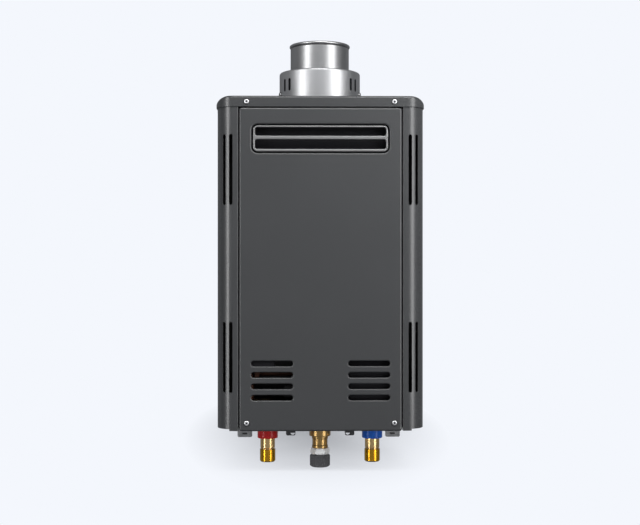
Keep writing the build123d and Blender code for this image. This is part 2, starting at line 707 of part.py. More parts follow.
def flue_collar():
    """The outer air collar, closed over the top and slotted all round."""
    inside = COLLAR_R - COLLAR_WALL
    under = COLLAR_TOP - COLLAR_WALL
    points = [
        (COLLAR_R, TOP_Z),
        (COLLAR_R, COLLAR_TOP - COLLAR_EDGE),
        (COLLAR_R - COLLAR_EDGE, COLLAR_TOP),
        (COLLAR_BORE_R, COLLAR_TOP),
        (COLLAR_BORE_R, under),
        (inside - COLLAR_EDGE, under),
        (inside, under - COLLAR_EDGE),
        (inside, TOP_Z),
    ]
    collar = turned(points, 0, FLUE_Y)
    for angle in COLLAR_SLOTS:
        slot = Pos(0, 0, COLLAR_R) * Box(COLLAR_SLOT_HEIGHT, COLLAR_SLOT_WIDTH, COLLAR_R / 3)
        collar -= radial_plane(angle, COLLAR_SLOT_MID) * slot
    return collar


def collar_screws():
    """Four screws that hold the collar on the cap's neck."""
    group = None
    for angle in COLLAR_SCREWS:
        point, outward = around_flue(angle, COLLAR_R, TOP_Z + COLLAR_SCREW_RISE)
        one = screw(point, outward)
        group = one if group is None else group + one
    return group


def flue_pipe():
    """The inner exhaust pipe with a rolled rim, set down into the hood's spigot."""
    inside = FLUE_PIPE_R - FLUE_PIPE_WALL
    foot = SPIGOT_TOP - PIPE_OVERLAP
    points = [
        (inside, foot),
        (FLUE_PIPE_R, foot),
        (FLUE_PIPE_R, FLUE_PIPE_TOP - 2 * FLUE_BEAD),
        (FLUE_PIPE_R + FLUE_BEAD, FLUE_PIPE_TOP - FLUE_BEAD),
        (FLUE_PIPE_R, FLUE_PIPE_TOP),
        (inside, FLUE_PIPE_TOP),
    ]
    return turned(points, 0, FLUE_Y)


# Pipe fittings under the floor


def water_fittings():
    """The hot and cold brass nipples: thread, groove and neck below the floor, seat above."""
    neck = BOTTOM_Z - NECK_DROP
    shoulder = neck - GROOVE
    end = shoulder - THREAD_LENGTH
    points = [
        (WATER_BORE_R, end),
        (THREAD_R - THREAD_CHAMFER, end),
        (THREAD_R, end + THREAD_CHAMFER),
        (THREAD_R, shoulder),
        (GROOVE_R, shoulder),
        (GROOVE_R, neck),
        (NECK_R, neck),
        (NECK_R, SEAT_TOP),
        (WATER_BORE_R, SEAT_TOP),
    ]
    return turned(points, -FITTING_OFFSET, FITTING_Y) + turned(points, FITTING_OFFSET, FITTING_Y)


def marker_ring(x):
    """A coloured plastic ring round a nipple's neck, up against the floor."""
    return ring(MARKER_R, NECK_R + SPIGOT_FIT, BOTTOM_Z - MARKER_DROP, FLOOR_Z, x, FITTING_Y)


def inlet_strainer():
    """A mesh plug that sits in the bore of the cold inlet."""
    neck = BOTTOM_Z - NECK_DROP
    return rod(WATER_BORE_R - SLIDE_FIT, neck, neck + WATER_BORE_R, FITTING_OFFSET, FITTING_Y)


def gas_inlet_fitting():
    """The brass gas inlet: a wide flange against the floor and a plain body below."""
    body = rod(GAS_BODY_R, BOTTOM_Z - NECK_DROP, SEAT_TOP, 0, FITTING_Y)
    return body + rod(GAS_FLANGE_R, BOTTOM_Z - GAS_FLANGE_DROP, FLOOR_Z, 0, FITTING_Y)


def hex_nut(flats, low, high):
    """A hexagon with one flat to the front."""
    outline = Pos(0, FITTING_Y, low) * RegularPolygon(flats / 2, 6, major_radius=False)
    return extrude(outline, high - low)


def gas_union_nut():
    """The bright hexagon under the gas inlet's body."""
    top = BOTTOM_Z - NECK_DROP
    return hex_nut(STEEL_NUT_FLATS, top - STEEL_NUT_HEIGHT, top)


def gas_end_nut():
    """The black hexagon with the female thread that takes the gas line."""
    top = BOTTOM_Z - NECK_DROP - STEEL_NUT_HEIGHT
    foot = top - BLACK_NUT_HEIGHT
    nut = hex_nut(BLACK_NUT_FLATS, foot, top)
    nut = chamfer(nut.faces().sort_by(Axis.Z)[0].edges(), NUT_CHAMFER)
    return nut - rod(GAS_THREAD_R, foot - 1, top + 1, 0, FITTING_Y)


# Burner and heat exchanger stack


def exhaust_hood():
    """The sheet hood that draws in from the exchanger to a round spigot."""
    wall = STACK_WALL
    bore_r = FLUE_PIPE_R + SPIGOT_FIT
    shell = hood_form(0) - hood_form(wall)
    shell += rod(bore_r + wall, HOOD_TOP - wall, SPIGOT_TOP, 0, FLUE_Y)
    shell -= rod(bore_r, HOOD_TOP - 2 * wall, SPIGOT_TOP + 1, 0, FLUE_Y)
    return shell + stack_flange(HOOD_FOOT, HOOD_FOOT + wall)


def hood_form(inset):
    """The hood's tapered body, drawn in by an inset and open at its foot."""
    skirt = HOOD_FOOT + HOOD_HEIGHT / 3
    top = HOOD_TOP - inset
    foot = HOOD_FOOT - inset
    mouth = FLUE_PIPE_R + 4.0 - inset
    both = []
    for half in (STACK_X - inset, STACK_DEPTH / 2 - inset):
        points = [(-half, foot), (half, foot), (half, skirt), (mouth, top), (-mouth, top), (-half, skirt)]
        both.append(make_face(Polyline(*points, close=True)))
    front = Plane(origin=(0, FLUE_Y, 0), x_dir=(1, 0, 0), z_dir=(0, -1, 0))
    side = Plane(origin=(0, FLUE_Y, 0), x_dir=(0, 1, 0), z_dir=(1, 0, 0))
    wide = extrude(front * both[0], amount=STACK_X, both=True)
    return wide & extrude(side * both[1], amount=STACK_X, both=True)


def exchanger_tube_places():
    """The depth of each water tube in the exchanger."""
    return [STACK_FRONT + (i + 0.5) * TUBE_PITCH for i in range(TUBE_COUNT)]


def flat_tubes(reach, grow=0.0):
    """A row of flat tubes with eased edges across the exchanger."""
    row = None
    wide = TUBE_WIDTH / 2 + grow
    tall = TUBE_HEIGHT / 2 + grow
    for y in exchanger_tube_places():
        tube = block((-reach, reach), (y - wide, y + wide), (TUBE_Z - tall, TUBE_Z + tall))
        tube = chamfer(tube.edges().filter_by(Axis.X), TUBE_HEIGHT / 4)
        row = tube if row is None else row + tube
    return row


def heat_exchanger_shell():
    """The copper sleeve round the fins, with a flange at its foot and its head."""
    shell = open_box(STACK_X, STACK_FRONT, STACK_BACK, EXCHANGER_FOOT, HOOD_FOOT, STACK_WALL)
    shell += stack_flange(EXCHANGER_FOOT, EXCHANGER_FOOT + STACK_WALL)
    shell += stack_flange(HOOD_FOOT - STACK_WALL, HOOD_FOOT)
    return shell - flat_tubes(STACK_X + 1, SPIGOT_FIT)


def heat_exchanger_fins():
    """The finned block, grooved above and below, with a passage for each tube."""
    half = STACK_X - STACK_WALL - SEAM
    y = (STACK_FRONT + STACK_WALL + SEAM, STACK_BACK - STACK_WALL - SEAM)
    z = (EXCHANGER_FOOT + 4.0, HOOD_FOOT - 4.0)
    pitch = 2 * half / FIN_COUNT
    depth = (z[1] - z[0] - TUBE_HEIGHT) / 2 - 4.0
    fins = block((-half, half), y, z)
    for i in range(1, FIN_COUNT):
        gap = (-half + (i - 0.25) * pitch, -half + (i + 0.25) * pitch)
        fins -= block(gap, (y[0] - 1, y[1] + 1), (z[1] - depth, z[1] + 1))
        fins -= block(gap, (y[0] - 1, y[1] + 1), (z[0] - 1, z[0] + depth))
    return fins - flat_tubes(half + 1, SPIGOT_FIT)


def heat_exchanger_tubes():
    """The flat water tubes with a pressed header box at each end."""
    tank_y = (STACK_FRONT + 4.0, STACK_BACK - 4.0)
    tank_z = (TUBE_Z - TUBE_HEIGHT, TUBE_Z + TUBE_HEIGHT)
    tank = block((STACK_X, STACK_X + HEADER_THICK), tank_y, tank_z)
    tank = chamfer(tank.faces().sort_by(Axis.X)[-1].edges(), HEADER_THICK / 8)
    return tank + mirrored(tank) + flat_tubes(STACK_X)


def combustion_chamber():
    """The sheet chamber between the burner and the exchanger, with a window for the probes."""
    chamber = open_box(STACK_X, STACK_FRONT, STACK_BACK, CHAMBER_FOOT, EXCHANGER_FOOT, STACK_WALL)
    chamber += stack_flange(CHAMBER_FOOT, CHAMBER_FOOT + STACK_WALL)
    chamber += stack_flange(EXCHANGER_FOOT - STACK_WALL, EXCHANGER_FOOT)
    half = 2 * PROBE_SPACING
    window_y = (STACK_FRONT - 1, STACK_FRONT + STACK_WALL + 1)
    return chamber - block((-half, half), window_y, (PROBE_Z - 1.5 * PROBE_R, PROBE_Z + 1.5 * PROBE_R))


def probe_places():
    """Where the two spark electrodes and the flame rod pass the chamber's wall."""
    return [-1.5 * PROBE_SPACING, -0.5 * PROBE_SPACING, 1.5 * PROBE_SPACING]


def ignition_electrodes():
    """Two spark electrodes and a flame rod, in ceramic sleeves on one plate."""
    half = 2 * PROBE_SPACING + 4.0
    plate_z = (PROBE_Z - 2 * PROBE_R, PROBE_Z + 2 * PROBE_R)
    group = block((-half, half), (STACK_FRONT - 1.5, STACK_FRONT), plate_z)
    for x in probe_places():
        outside = STACK_FRONT - 2 * PROBE_SLEEVE / 3
        sleeve = rod(PROBE_R, outside, outside + PROBE_SLEEVE, x, z=PROBE_Z, along="y")
        wire_x = (x - PROBE_ROD / 2, x + PROBE_ROD / 2)
        wire_z = (PROBE_Z - PROBE_ROD / 2, PROBE_Z + PROBE_ROD / 2)
        wire_y = (outside - 2 * PROBE_ROD, outside - 2 * PROBE_ROD + PROBE_WIRE)
        group += sleeve + block(wire_x, wire_y, wire_z)
    return group


def overheat_switch():
    """The round cut-out switch clamped on the front of the chamber."""
    z = (EXCHANGER_FOOT + PROBE_Z) / 2
    face = STACK_FRONT - BRACKET_SHEET
    x = (SWITCH_OFFSET - 2 * SWITCH_R, SWITCH_OFFSET + 2 * SWITCH_R)
    plate = block(x, (face, STACK_FRONT), (z - SWITCH_R, z + SWITCH_R))
    return plate + rod(SWITCH_R, face - SWITCH_R, face, SWITCH_OFFSET, z=z, along="y")


def burner_frame():
    """The sheet frame that holds the burner bars, open in front for the gas nozzles."""
    frame = open_box(STACK_X, STACK_FRONT, STACK_BACK, BURNER_FOOT, CHAMBER_FOOT, STACK_WALL)
    half = STACK_X - 5.0
    window_y = (STACK_FRONT - 1, STACK_FRONT + STACK_WALL + 1)
    frame -= block((-half, half), window_y, (MANIFOLD_Z - NOZZLE_FLATS, MANIFOLD_Z + NOZZLE_FLATS))
    return frame + stack_flange(BURNER_FOOT, BURNER_FOOT + STACK_WALL)


def burner_places():
    """The middle of each burner bar from left to right."""
    first = -(BURNER_BARS - 1) / 2
    return [(first + i) * BURNER_PITCH for i in range(BURNER_BARS)]


def burner_bars():
    """A row of flat burners, each with a wide mouth at its foot and a narrow flame crest."""
    front = STACK_FRONT + STACK_WALL + SEAM
    back = STACK_BACK - STACK_WALL - SEAM
    crest = CHAMBER_FOOT - BURNER_CREST_DROP
    foot = BURNER_FOOT + STACK_WALL
    half = BURNER_THICK / 2
    group = None
    for x in burner_places():
        bar = block((x - half, x + half), (front, back), (foot, foot + BURNER_BODY))
        bar += block((x - half / 2, x + half / 2), (front + half, back), (foot + BURNER_BODY, crest))
        mouth_z = (MANIFOLD_Z - half + 1.0, MANIFOLD_Z + half - 1.0)
        bar -= block((x - half + 1.0, x + half - 1.0), (front - 1, front + BURNER_BODY), mouth_z)
        group = bar if group is None else group + bar
    return group


def air_plenum():
    """The shallow box that spreads the fan's air under the burners."""
    box = block((-STACK_X, STACK_X), (STACK_FRONT, STACK_BACK), (PLENUM_FOOT, BURNER_FOOT))
    inner = STACK_X - STACK_WALL
    y_in = (STACK_FRONT + STACK_WALL, STACK_BACK - STACK_WALL)
    box -= block((-inner, inner), y_in, (PLENUM_FOOT + STACK_WALL, BURNER_FOOT + 1))
    outlet_y = (FAN_FRONT + FAN_WALL, FAN_BACK - FAN_WALL)
    outlet_x = (FAN_HOUSING_R * 0.2 + FAN_WALL, FAN_HOUSING_R - FAN_WALL)
    box -= block(outlet_x, outlet_y, (PLENUM_FOOT - 1, PLENUM_FOOT + STACK_WALL + 1))
    return box + stack_flange(BURNER_FOOT - STACK_WALL, BURNER_FOOT)


def stack_brackets():
    """Two folded straps that carry the stack off the back panel."""
    strap_x = STACK_X / 2
    z = EXCHANGER_FOOT - CHAMBER_HEIGHT / 3
    x = (strap_x - STACK_BRACKET_WIDTH / 2, strap_x + STACK_BRACKET_WIDTH / 2)
    wall = BACK_Y - SHEET
    strap = block(x, (STACK_BACK, wall), (z, z + BRACKET_SHEET))
    strap += block(x, (STACK_BACK, STACK_BACK + BRACKET_SHEET), (z, z + STACK_BRACKET_WIDTH))
    strap += block(x, (wall - BRACKET_SHEET, wall), (z - STACK_BRACKET_WIDTH, z + BRACKET_SHEET))
    return strap + mirrored(strap)


# Fan


def fan_housing():
    """The scroll: a round drum with a square outlet up into the plenum."""
    drum = rod(FAN_HOUSING_R, FAN_FRONT, FAN_BACK, 0, z=FAN_Z, along="y")
    neck_x = (FAN_HOUSING_R * 0.2, FAN_HOUSING_R)
    scroll = drum + block(neck_x, (FAN_FRONT, FAN_BACK), (FAN_Z, PLENUM_FOOT))
    y_in = (FAN_FRONT + FAN_WALL, FAN_BACK - FAN_WALL)
    scroll -= rod(FAN_HOUSING_R - FAN_WALL, *y_in, 0, z=FAN_Z, along="y")
    inner_x = (neck_x[0] + FAN_WALL, neck_x[1] - FAN_WALL)
    scroll -= block(inner_x, y_in, (FAN_Z, PLENUM_FOOT + 1))
    scroll -= rod(FAN_INLET_R, FAN_FRONT - 1, FAN_FRONT + FAN_WALL + 1, 0, z=FAN_Z, along="y")
    scroll -= rod(FAN_SHAFT_R + 1.0, FAN_BACK - FAN_WALL - 1, FAN_BACK + 1, 0, z=FAN_Z, along="y")
    return scroll


def fan_impeller():
    """The blower wheel: back disc, raked blades, hub and shaft in one piece."""
    back = FAN_BACK - FAN_WALL - 2.0
    front = back - IMPELLER_DEPTH
    wheel = rod(IMPELLER_R, back - 2.0, back, 0, z=FAN_Z, along="y")
    wheel += rod(2 * FAN_SHAFT_R, back - IMPELLER_DEPTH / 2, back, 0, z=FAN_Z, along="y")
    wheel += rod(FAN_SHAFT_R, back - IMPELLER_DEPTH / 2, FAN_BACK + MOTOR_LENGTH / 2, 0, z=FAN_Z, along="y")
    blade = block((IMPELLER_R * 0.68, IMPELLER_R - 1.0), (front, back - 1.0), (-0.75, 0.75))
    raked = Pos(0, 0, IMPELLER_R * 0.2) * blade
    for i in range(IMPELLER_BLADES):
        wheel += Pos(0, 0, FAN_Z) * Rot(0, i * 360.0 / IMPELLER_BLADES, 0) * raked
    return wheel


def fan_motor():
    """The motor can on the back of the scroll, bored for the wheel's shaft."""
    motor = rod(MOTOR_R, FAN_BACK, FAN_BACK + MOTOR_LENGTH, 0, z=FAN_Z, along="y")
    end = FAN_BACK + MOTOR_LENGTH / 2 + 1.0
    return motor - rod(FAN_SHAFT_R + RUNNING_FIT, FAN_BACK - 1, end, 0, z=FAN_Z, along="y")


# Water path


def flow_sensor_body():
    """The square sensor body over the cold inlet, with a foot bridge for the turbine."""
    half = SENSOR_SIZE / 2
    x, y = FITTING_OFFSET, FITTING_Y
    z = (SENSOR_FOOT, SENSOR_FOOT + SENSOR_HEIGHT)
    body = block((x - half, x + half), (y - half, y + half), z)
    body -= rod(SENSOR_BORE_R, z[0] + SENSOR_FLOOR, z[1] + 1, x, y)
    for side in (-1, 1):
        port_x = sorted((x + side * NECK_R / 4, x + side * NECK_R * 0.6))
        port_y = (y - NECK_R * 0.4, y + NECK_R * 0.4)
        body -= block(port_x, port_y, (z[0] - 1, z[0] + SENSOR_FLOOR + 1))
    return body - rod(TURBINE_SHAFT_R + RUNNING_FIT, z[0] + SENSOR_FLOOR / 2, z[1], x, y)


def flow_turbine():
    """The small vane wheel that counts the water, on its own spindle."""
    x, y = FITTING_OFFSET, FITTING_Y
    foot = SENSOR_FOOT + SENSOR_FLOOR
    wheel = rod(TURBINE_SHAFT_R, foot - SENSOR_FLOOR / 2 + SEAM, foot + TURBINE_HEIGHT + 4.0, x, y)
    for i in range(TURBINE_BLADES // 2):
        vane = Box(2 * TURBINE_R, 1.6, TURBINE_HEIGHT)
        turn = Rot(0, 0, i * 360.0 / TURBINE_BLADES)
        wheel += Pos(x, y, foot + TURBINE_HEIGHT / 2 + 1.0) * turn * vane
    return wheel


def water_valve_body():
    """The brass block over the sensor that meters the water, with its outlet on top."""
    half = VALVE_SIZE / 2
    x, y = FITTING_OFFSET, FITTING_Y
    z = (VALVE_FOOT, VALVE_FOOT + VALVE_HEIGHT)
    body = block((x - half, RISER_OFFSET + half / 2), (y - half, y + half), z)
    body -= rod(ROTOR_R + RUNNING_FIT, y - half - 1, y + half - 3.0, x, z=VALVE_Z, along="y")
    port = NECK_R * 0.4
    body -= block((x - port, x + port), (y - port, y + port), (z[0] - 1, VALVE_Z))
    return body - block((x, RISER_OFFSET), (y - port, y + port), (VALVE_Z - port, VALVE_Z + port))


def water_valve_rotor():
    """The quarter-turn plug with its cross port and drive tongue."""
    half = VALVE_SIZE / 2
    x, y = FITTING_OFFSET, FITTING_Y
    plug = rod(ROTOR_R, y - half, y + half - 3.5, x, z=VALVE_Z, along="y")
    port = ROTOR_R * 0.55
    across = (x - ROTOR_R - 1, x + ROTOR_R + 1)
    return plug - block(across, (y - port, y + port), (VALVE_Z - port, VALVE_Z + port))


def water_valve_motor():
    """The moulded servo on the front of the metering valve."""
    face = FITTING_Y - VALVE_SIZE / 2 - SEAM
    x = (FITTING_OFFSET - VALVE_SIZE / 2, FITTING_OFFSET + VALVE_SIZE / 2)
    z = (VALVE_Z - VALVE_SIZE / 2, VALVE_Z + VALVE_SIZE / 2)
    motor = block(x, (face - VALVE_MOTOR_LENGTH, face), z)
    return chamfer(motor.faces().sort_by(Axis.Y)[0].edges(), 2.0)


def cold_pipe():
    """The straight copper pipe from the metering valve up to the right header box."""
    top = TUBE_Z - TUBE_HEIGHT
    return rod(WATER_PIPE_R, VALVE_FOOT + VALVE_HEIGHT, top, RISER_OFFSET, FITTING_Y)


def hot_outlet_block():
    """The brass block over the hot outlet that turns the water down into it."""
    half = VALVE_SIZE / 2
    x = (-RISER_OFFSET - half / 2, half - FITTING_OFFSET)
    body = block(x, (FITTING_Y - half, FITTING_Y + half), (SEAT_TOP, SEAT_TOP + VALVE_SIZE))
    shoulder = body.faces().sort_by(Axis.Z)[-1].edges().sort_by(Axis.X)[-1]
    return chamfer(shoulder, VALVE_SIZE / 3)


def hot_pipe():
    """The straight copper pipe from the left header box down to the outlet block."""
    return rod(WATER_PIPE_R, SEAT_TOP + VALVE_SIZE, TUBE_Z - TUBE_HEIGHT, -RISER_OFFSET, FITTING_Y)


def bypass_pipe():
    """The thin bypass across from the metering valve to a saddle on the hot pipe."""
    z = VALVE_FOOT + VALVE_HEIGHT - 2 * BYPASS_R
    saddle_r = WATER_PIPE_R + BYPASS_R
    inner = -RISER_OFFSET + WATER_PIPE_R + SEAM
    saddle_y = (FITTING_Y - saddle_r, FITTING_Y + saddle_r)
    saddle = block((inner, inner + 2 * BYPASS_R), saddle_y, (z - saddle_r, z + saddle_r))
    return saddle + rod(BYPASS_R, inner, FITTING_OFFSET - VALVE_SIZE / 2, y=FITTING_Y, z=z, along="x")


# Gas path


def solenoid_heights():
    """The height of the shut-off valve's axis and of the regulator's."""
    middle = (GAS_VALVE_FOOT + GAS_VALVE_TOP) / 2
    return middle - SOLENOID_PITCH / 2, middle + SOLENOID_PITCH / 2


def gas_valve_body():
    """The cast gas valve block with two side pockets for its plungers."""
    half = GAS_VALVE_WIDTH / 2
    body = block((-half, half), (GAS_VALVE_FRONT, GAS_VALVE_BACK), (GAS_VALVE_FOOT, GAS_VALVE_TOP))
    body = chamfer(body.edges().filter_by(Axis.Z), 4.0)
    for z in solenoid_heights():
        pocket = (-half - 1, -half + PLUNGER_SEAT + SEAM)
        body -= rod(PLUNGER_R + SLIDE_FIT, *pocket, y=SOLENOID_Y, z=z, along="x")
    return body


def gas_solenoids():
    """Two coil blocks on the left of the gas valve, each bored for its plunger."""
    face = -GAS_VALVE_WIDTH / 2
    group = None
    for z in solenoid_heights():
        y_out = (SOLENOID_Y - SOLENOID_R, SOLENOID_Y + SOLENOID_R)
        coil = block((face - SOLENOID_LENGTH, face), y_out, (z - SOLENOID_R, z + SOLENOID_R))
        coil = chamfer(coil.edges().filter_by(Axis.X), SOLENOID_R / 3)
        bore = (face - SOLENOID_LENGTH + 2.0, face + 1)
        coil -= rod(PLUNGER_R + SLIDE_FIT, *bore, y=SOLENOID_Y, z=z, along="x")
        group = coil if group is None else group + coil
    return group


def plunger(z):
    """A steel plunger whose nose closes on the seat in the valve block."""
    nose = -GAS_VALVE_WIDTH / 2 + PLUNGER_SEAT
    return rod(PLUNGER_R, nose - PLUNGER_LENGTH, nose, y=SOLENOID_Y, z=z, along="x")


def gas_riser():
    """The straight gas tube from the valve up to the manifold."""
    return rod(GAS_RISER_R, GAS_VALVE_TOP, MANIFOLD_Z - MANIFOLD_SIZE / 2, 0, MANIFOLD_Y)


def gas_manifold():
    """The square gas rail across the front of the burners."""
    half = MANIFOLD_SIZE / 2
    reach = STACK_X - 5.0
    rail_z = (MANIFOLD_Z - half, MANIFOLD_Z + half)
    rail = block((-reach, reach), (MANIFOLD_Y - half, MANIFOLD_Y + half), rail_z)
    return chamfer(rail.edges().filter_by(Axis.X), 1.5)


def gas_nozzles():
    """One hexagon nozzle for each burner bar, from the rail up to the bar's mouth."""
    group = None
    low = MANIFOLD_Y + MANIFOLD_SIZE / 2
    for x in burner_places():
        face = Plane(origin=(x, low, MANIFOLD_Z), x_dir=(1, 0, 0), z_dir=(0, 1, 0))
        outline = RegularPolygon(NOZZLE_FLATS / 2, 6, major_radius=False)
        one = extrude(face * outline, STACK_FRONT - low)
        group = one if group is None else group + one
    return group


# Electrical parts


def control_box():
    """The open-fronted box for the control board, on a foot down to the floor."""
    half = BOX_WIDTH / 2
    x = (BOX_MIDDLE - half, BOX_MIDDLE + half)
    lid = BOX_FRONT + BOX_WALL
    box = block(x, (lid, BOX_BACK), (BOX_FOOT, BOX_FOOT + BOX_HEIGHT))
    room_x = (x[0] + BOX_WALL, x[1] - BOX_WALL)
    room_z = (BOX_FOOT + BOX_WALL, BOX_FOOT + BOX_HEIGHT - BOX_WALL)
    box -= block(room_x, (lid - 1, BOX_BACK - BOX_WALL), room_z)
    quarter = BOX_WIDTH / 4
    strap = (BOX_MIDDLE - quarter, BOX_MIDDLE + quarter)
    return box + block(strap, (BOX_BACK - BOX_WALL, BOX_BACK), (FLOOR_TOP, BOX_FOOT))


def control_lid():
    """The flat lid on the front of the control box."""
    half = BOX_WIDTH / 2
    x = (BOX_MIDDLE - half, BOX_MIDDLE + half)
    lid = block(x, (BOX_FRONT, BOX_FRONT + BOX_WALL), (BOX_FOOT, BOX_FOOT + BOX_HEIGHT))
    return chamfer(lid.faces().sort_by(Axis.Y)[0].edges(), BOX_WALL / 2)


def control_board():
    """The circuit board on its posts, with a relay, a transformer and a socket row."""
    half = BOX_WIDTH / 2 - BOX_WALL - BOARD_GAP
    x = (BOX_MIDDLE - half, BOX_MIDDLE + half)
    z = (BOX_FOOT + BOX_WALL + BOARD_GAP, BOX_FOOT + BOX_HEIGHT - BOX_WALL - BOARD_GAP)
    wall = BOX_BACK - BOX_WALL
    face = wall - BOARD_POST
    board = block(x, (face - BOARD_THICK, face), z)
    for px in (x[0] + BOARD_POST, x[1] - BOARD_POST):
        for pz in (z[0] + BOARD_POST, z[1] - BOARD_POST):
            post = (pz - BOARD_POST / 2, pz + BOARD_POST / 2)
            board += block((px - BOARD_POST / 2, px + BOARD_POST / 2), (face, wall), post)
    parts = face - BOARD_THICK
    left = x[0] + SOCKET_HEIGHT
    right = x[1] - SOCKET_HEIGHT
    top = z[1] - SOCKET_HEIGHT
    board += block((left, left + RELAY_SIZE), (parts - RELAY_HEIGHT, parts), (top - RELAY_SIZE, top))
    board += block((right - RELAY_HEIGHT, right), (parts - SOCKET_HEIGHT, parts), (top - RELAY_HEIGHT, top))
    socket = (z[0] + BOARD_POST, z[0] + BOARD_POST + SOCKET_HEIGHT)
    return board + block((left, right), (parts - SOCKET_HEIGHT, parts), socket)


def spark_transformer():
    """The potted igniter block on the front of the plenum."""
    left = -STACK_X - SPARK_OVERHANG
    y = (STACK_FRONT - SPARK_DEPTH, STACK_FRONT)
    z = (BURNER_FOOT - STACK_WALL - SPARK_HEIGHT, BURNER_FOOT - STACK_WALL)
    body = block((left, left + SPARK_WIDTH), y, z)
    return chamfer(body.faces().sort_by(Axis.Y)[0].edges(), FAN_WALL)


NODES = {
    "rear_panel": rear_panel,
    "right_side_panel": right_side_panel,
    "left_side_panel": lambda: mirrored(right_side_panel()),
    "top_cap": top_cap,
    "floor_pan": floor_pan,
    "top_crossbar": top_crossbar,
    "top_seal": top_seal,
    "front_cover": front_cover,
    "front_louver": front_louver,
    "louver_baffle": louver_baffle,
    "cover_screws": cover_screws,
    "cap_screws": cap_screws,
    "wall_bracket_upper": wall_bracket_upper,
    "wall_bracket_lower": wall_bracket_lower,
    "floor_lugs": floor_lugs,
    "flue_collar": flue_collar,
    "collar_screws": collar_screws,
    "flue_pipe": flue_pipe,
    "water_fittings": water_fittings,
    "hot_marker_ring": lambda: marker_ring(-FITTING_OFFSET),
    "cold_marker_ring": lambda: marker_ring(FITTING_OFFSET),
    "inlet_strainer": inlet_strainer,
    "gas_inlet_fitting": gas_inlet_fitting,
    "gas_union_nut": gas_union_nut,
    "gas_end_nut": gas_end_nut,
    "exhaust_hood": exhaust_hood,
    "heat_exchanger_shell": heat_exchanger_shell,
    "heat_exchanger_fins": heat_exchanger_fins,
    "heat_exchanger_tubes": heat_exchanger_tubes,
    "combustion_chamber": combustion_chamber,
    "ignition_electrodes": ignition_electrodes,
    "overheat_switch": overheat_switch,
    "burner_frame": burner_frame,
    "burner_bars": burner_bars,
    "air_plenum": air_plenum,
    "stack_brackets": stack_brackets,
    "fan_housing": fan_housing,
    "fan_impeller": fan_impeller,
    "fan_motor": fan_motor,
    "flow_sensor_body": flow_sensor_body,
    "flow_turbine": flow_turbine,
    "water_valve_body": water_valve_body,
    "water_valve_rotor": water_valve_rotor,
    "water_valve_motor": water_valve_motor,
    "cold_pipe": cold_pipe,
    "hot_pipe": hot_pipe,
    "hot_outlet_block": hot_outlet_block,
    "bypass_pipe": bypass_pipe,
    "gas_valve_body": gas_valve_body,
    "gas_solenoids": gas_solenoids,
    "shutoff_plunger": lambda: plunger(solenoid_heights()[0]),
    "regulator_plunger": lambda: plunger(solenoid_heights()[1]),
    "gas_riser": gas_riser,
    "gas_manifold": gas_manifold,
    "gas_nozzles": gas_nozzles,
    "control_box": control_box,
    "control_lid": control_lid,
    "control_board": control_board,
    "spark_transformer": spark_transformer,
}

os.makedirs("parts", exist_ok=True)
for name, make in NODES.items():
    export_step(make(), f"parts/{name}.step")
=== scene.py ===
"""Wall-hung outdoor gas water heater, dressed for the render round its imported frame."""
import json
import logging
import math
from collections.abc import Callable, Iterator, Sequence
from contextlib import contextmanager
from dataclasses import dataclass
from enum import Enum

import bmesh
import bpy
from mathutils import Matrix, Vector


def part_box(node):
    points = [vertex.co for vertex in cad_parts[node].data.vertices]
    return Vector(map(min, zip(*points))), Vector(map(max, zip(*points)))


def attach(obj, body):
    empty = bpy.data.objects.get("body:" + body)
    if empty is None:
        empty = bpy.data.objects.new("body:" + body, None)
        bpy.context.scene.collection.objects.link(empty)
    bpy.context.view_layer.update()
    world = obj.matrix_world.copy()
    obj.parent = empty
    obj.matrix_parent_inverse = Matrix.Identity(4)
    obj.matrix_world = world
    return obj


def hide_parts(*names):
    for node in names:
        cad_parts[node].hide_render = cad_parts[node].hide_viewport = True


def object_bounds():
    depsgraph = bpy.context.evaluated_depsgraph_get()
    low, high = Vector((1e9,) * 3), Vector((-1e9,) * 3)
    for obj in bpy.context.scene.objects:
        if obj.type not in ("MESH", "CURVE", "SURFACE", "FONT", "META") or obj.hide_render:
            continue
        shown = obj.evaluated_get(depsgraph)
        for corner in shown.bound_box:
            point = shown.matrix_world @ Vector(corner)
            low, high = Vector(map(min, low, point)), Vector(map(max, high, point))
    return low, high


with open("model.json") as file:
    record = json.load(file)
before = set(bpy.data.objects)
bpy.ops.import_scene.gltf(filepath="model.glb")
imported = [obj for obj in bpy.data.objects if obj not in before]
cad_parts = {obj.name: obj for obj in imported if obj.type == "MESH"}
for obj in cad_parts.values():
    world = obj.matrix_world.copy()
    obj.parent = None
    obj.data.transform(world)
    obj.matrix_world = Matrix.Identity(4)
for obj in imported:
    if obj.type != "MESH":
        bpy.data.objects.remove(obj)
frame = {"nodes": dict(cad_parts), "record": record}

CAD_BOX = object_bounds()
LOG = logging.getLogger("water_heater")

MM = 0.001
ROUND = 96
FITTING_ROUND = 64
SMALL_ROUND = 48
SCREW_ROUND = 32
CORNER_STEPS = 10
SLOT_STEPS = 6
SLOT_END = 0.98
SHARP = 1.0
NEAR = 0.05 * MM

Piece = bpy.types.Object
Point = Sequence[float]
Pair = tuple[float, float]
Range = Pair
Colour = tuple[float, float, float]
Profile = list[Pair]
Socket = bpy.types.NodeSocket
Inputs = dict[str | int, object]
Edge = bmesh.types.BMEdge
Polygon = bpy.types.MeshPolygon
EdgeTest = Callable[[Edge], bool]
FaceTest = Callable[[Polygon], bool]


class Grain(Enum):
    """How a finish's fine texture runs: its spread along X, Y and Z, in marks per metre."""

    PEEL = (1500.0, 1500.0, 1500.0)
    ACROSS = (18.0, 2600.0, 2600.0)
    SPUN = (14.0, 14.0, 2400.0)
    TURNED = (60.0, 60.0, 5200.0)
    CAST = (700.0, 700.0, 700.0)
    MOULDED = (2200.0, 2200.0, 2200.0)
    SPANGLE = (160.0, 160.0, 160.0)


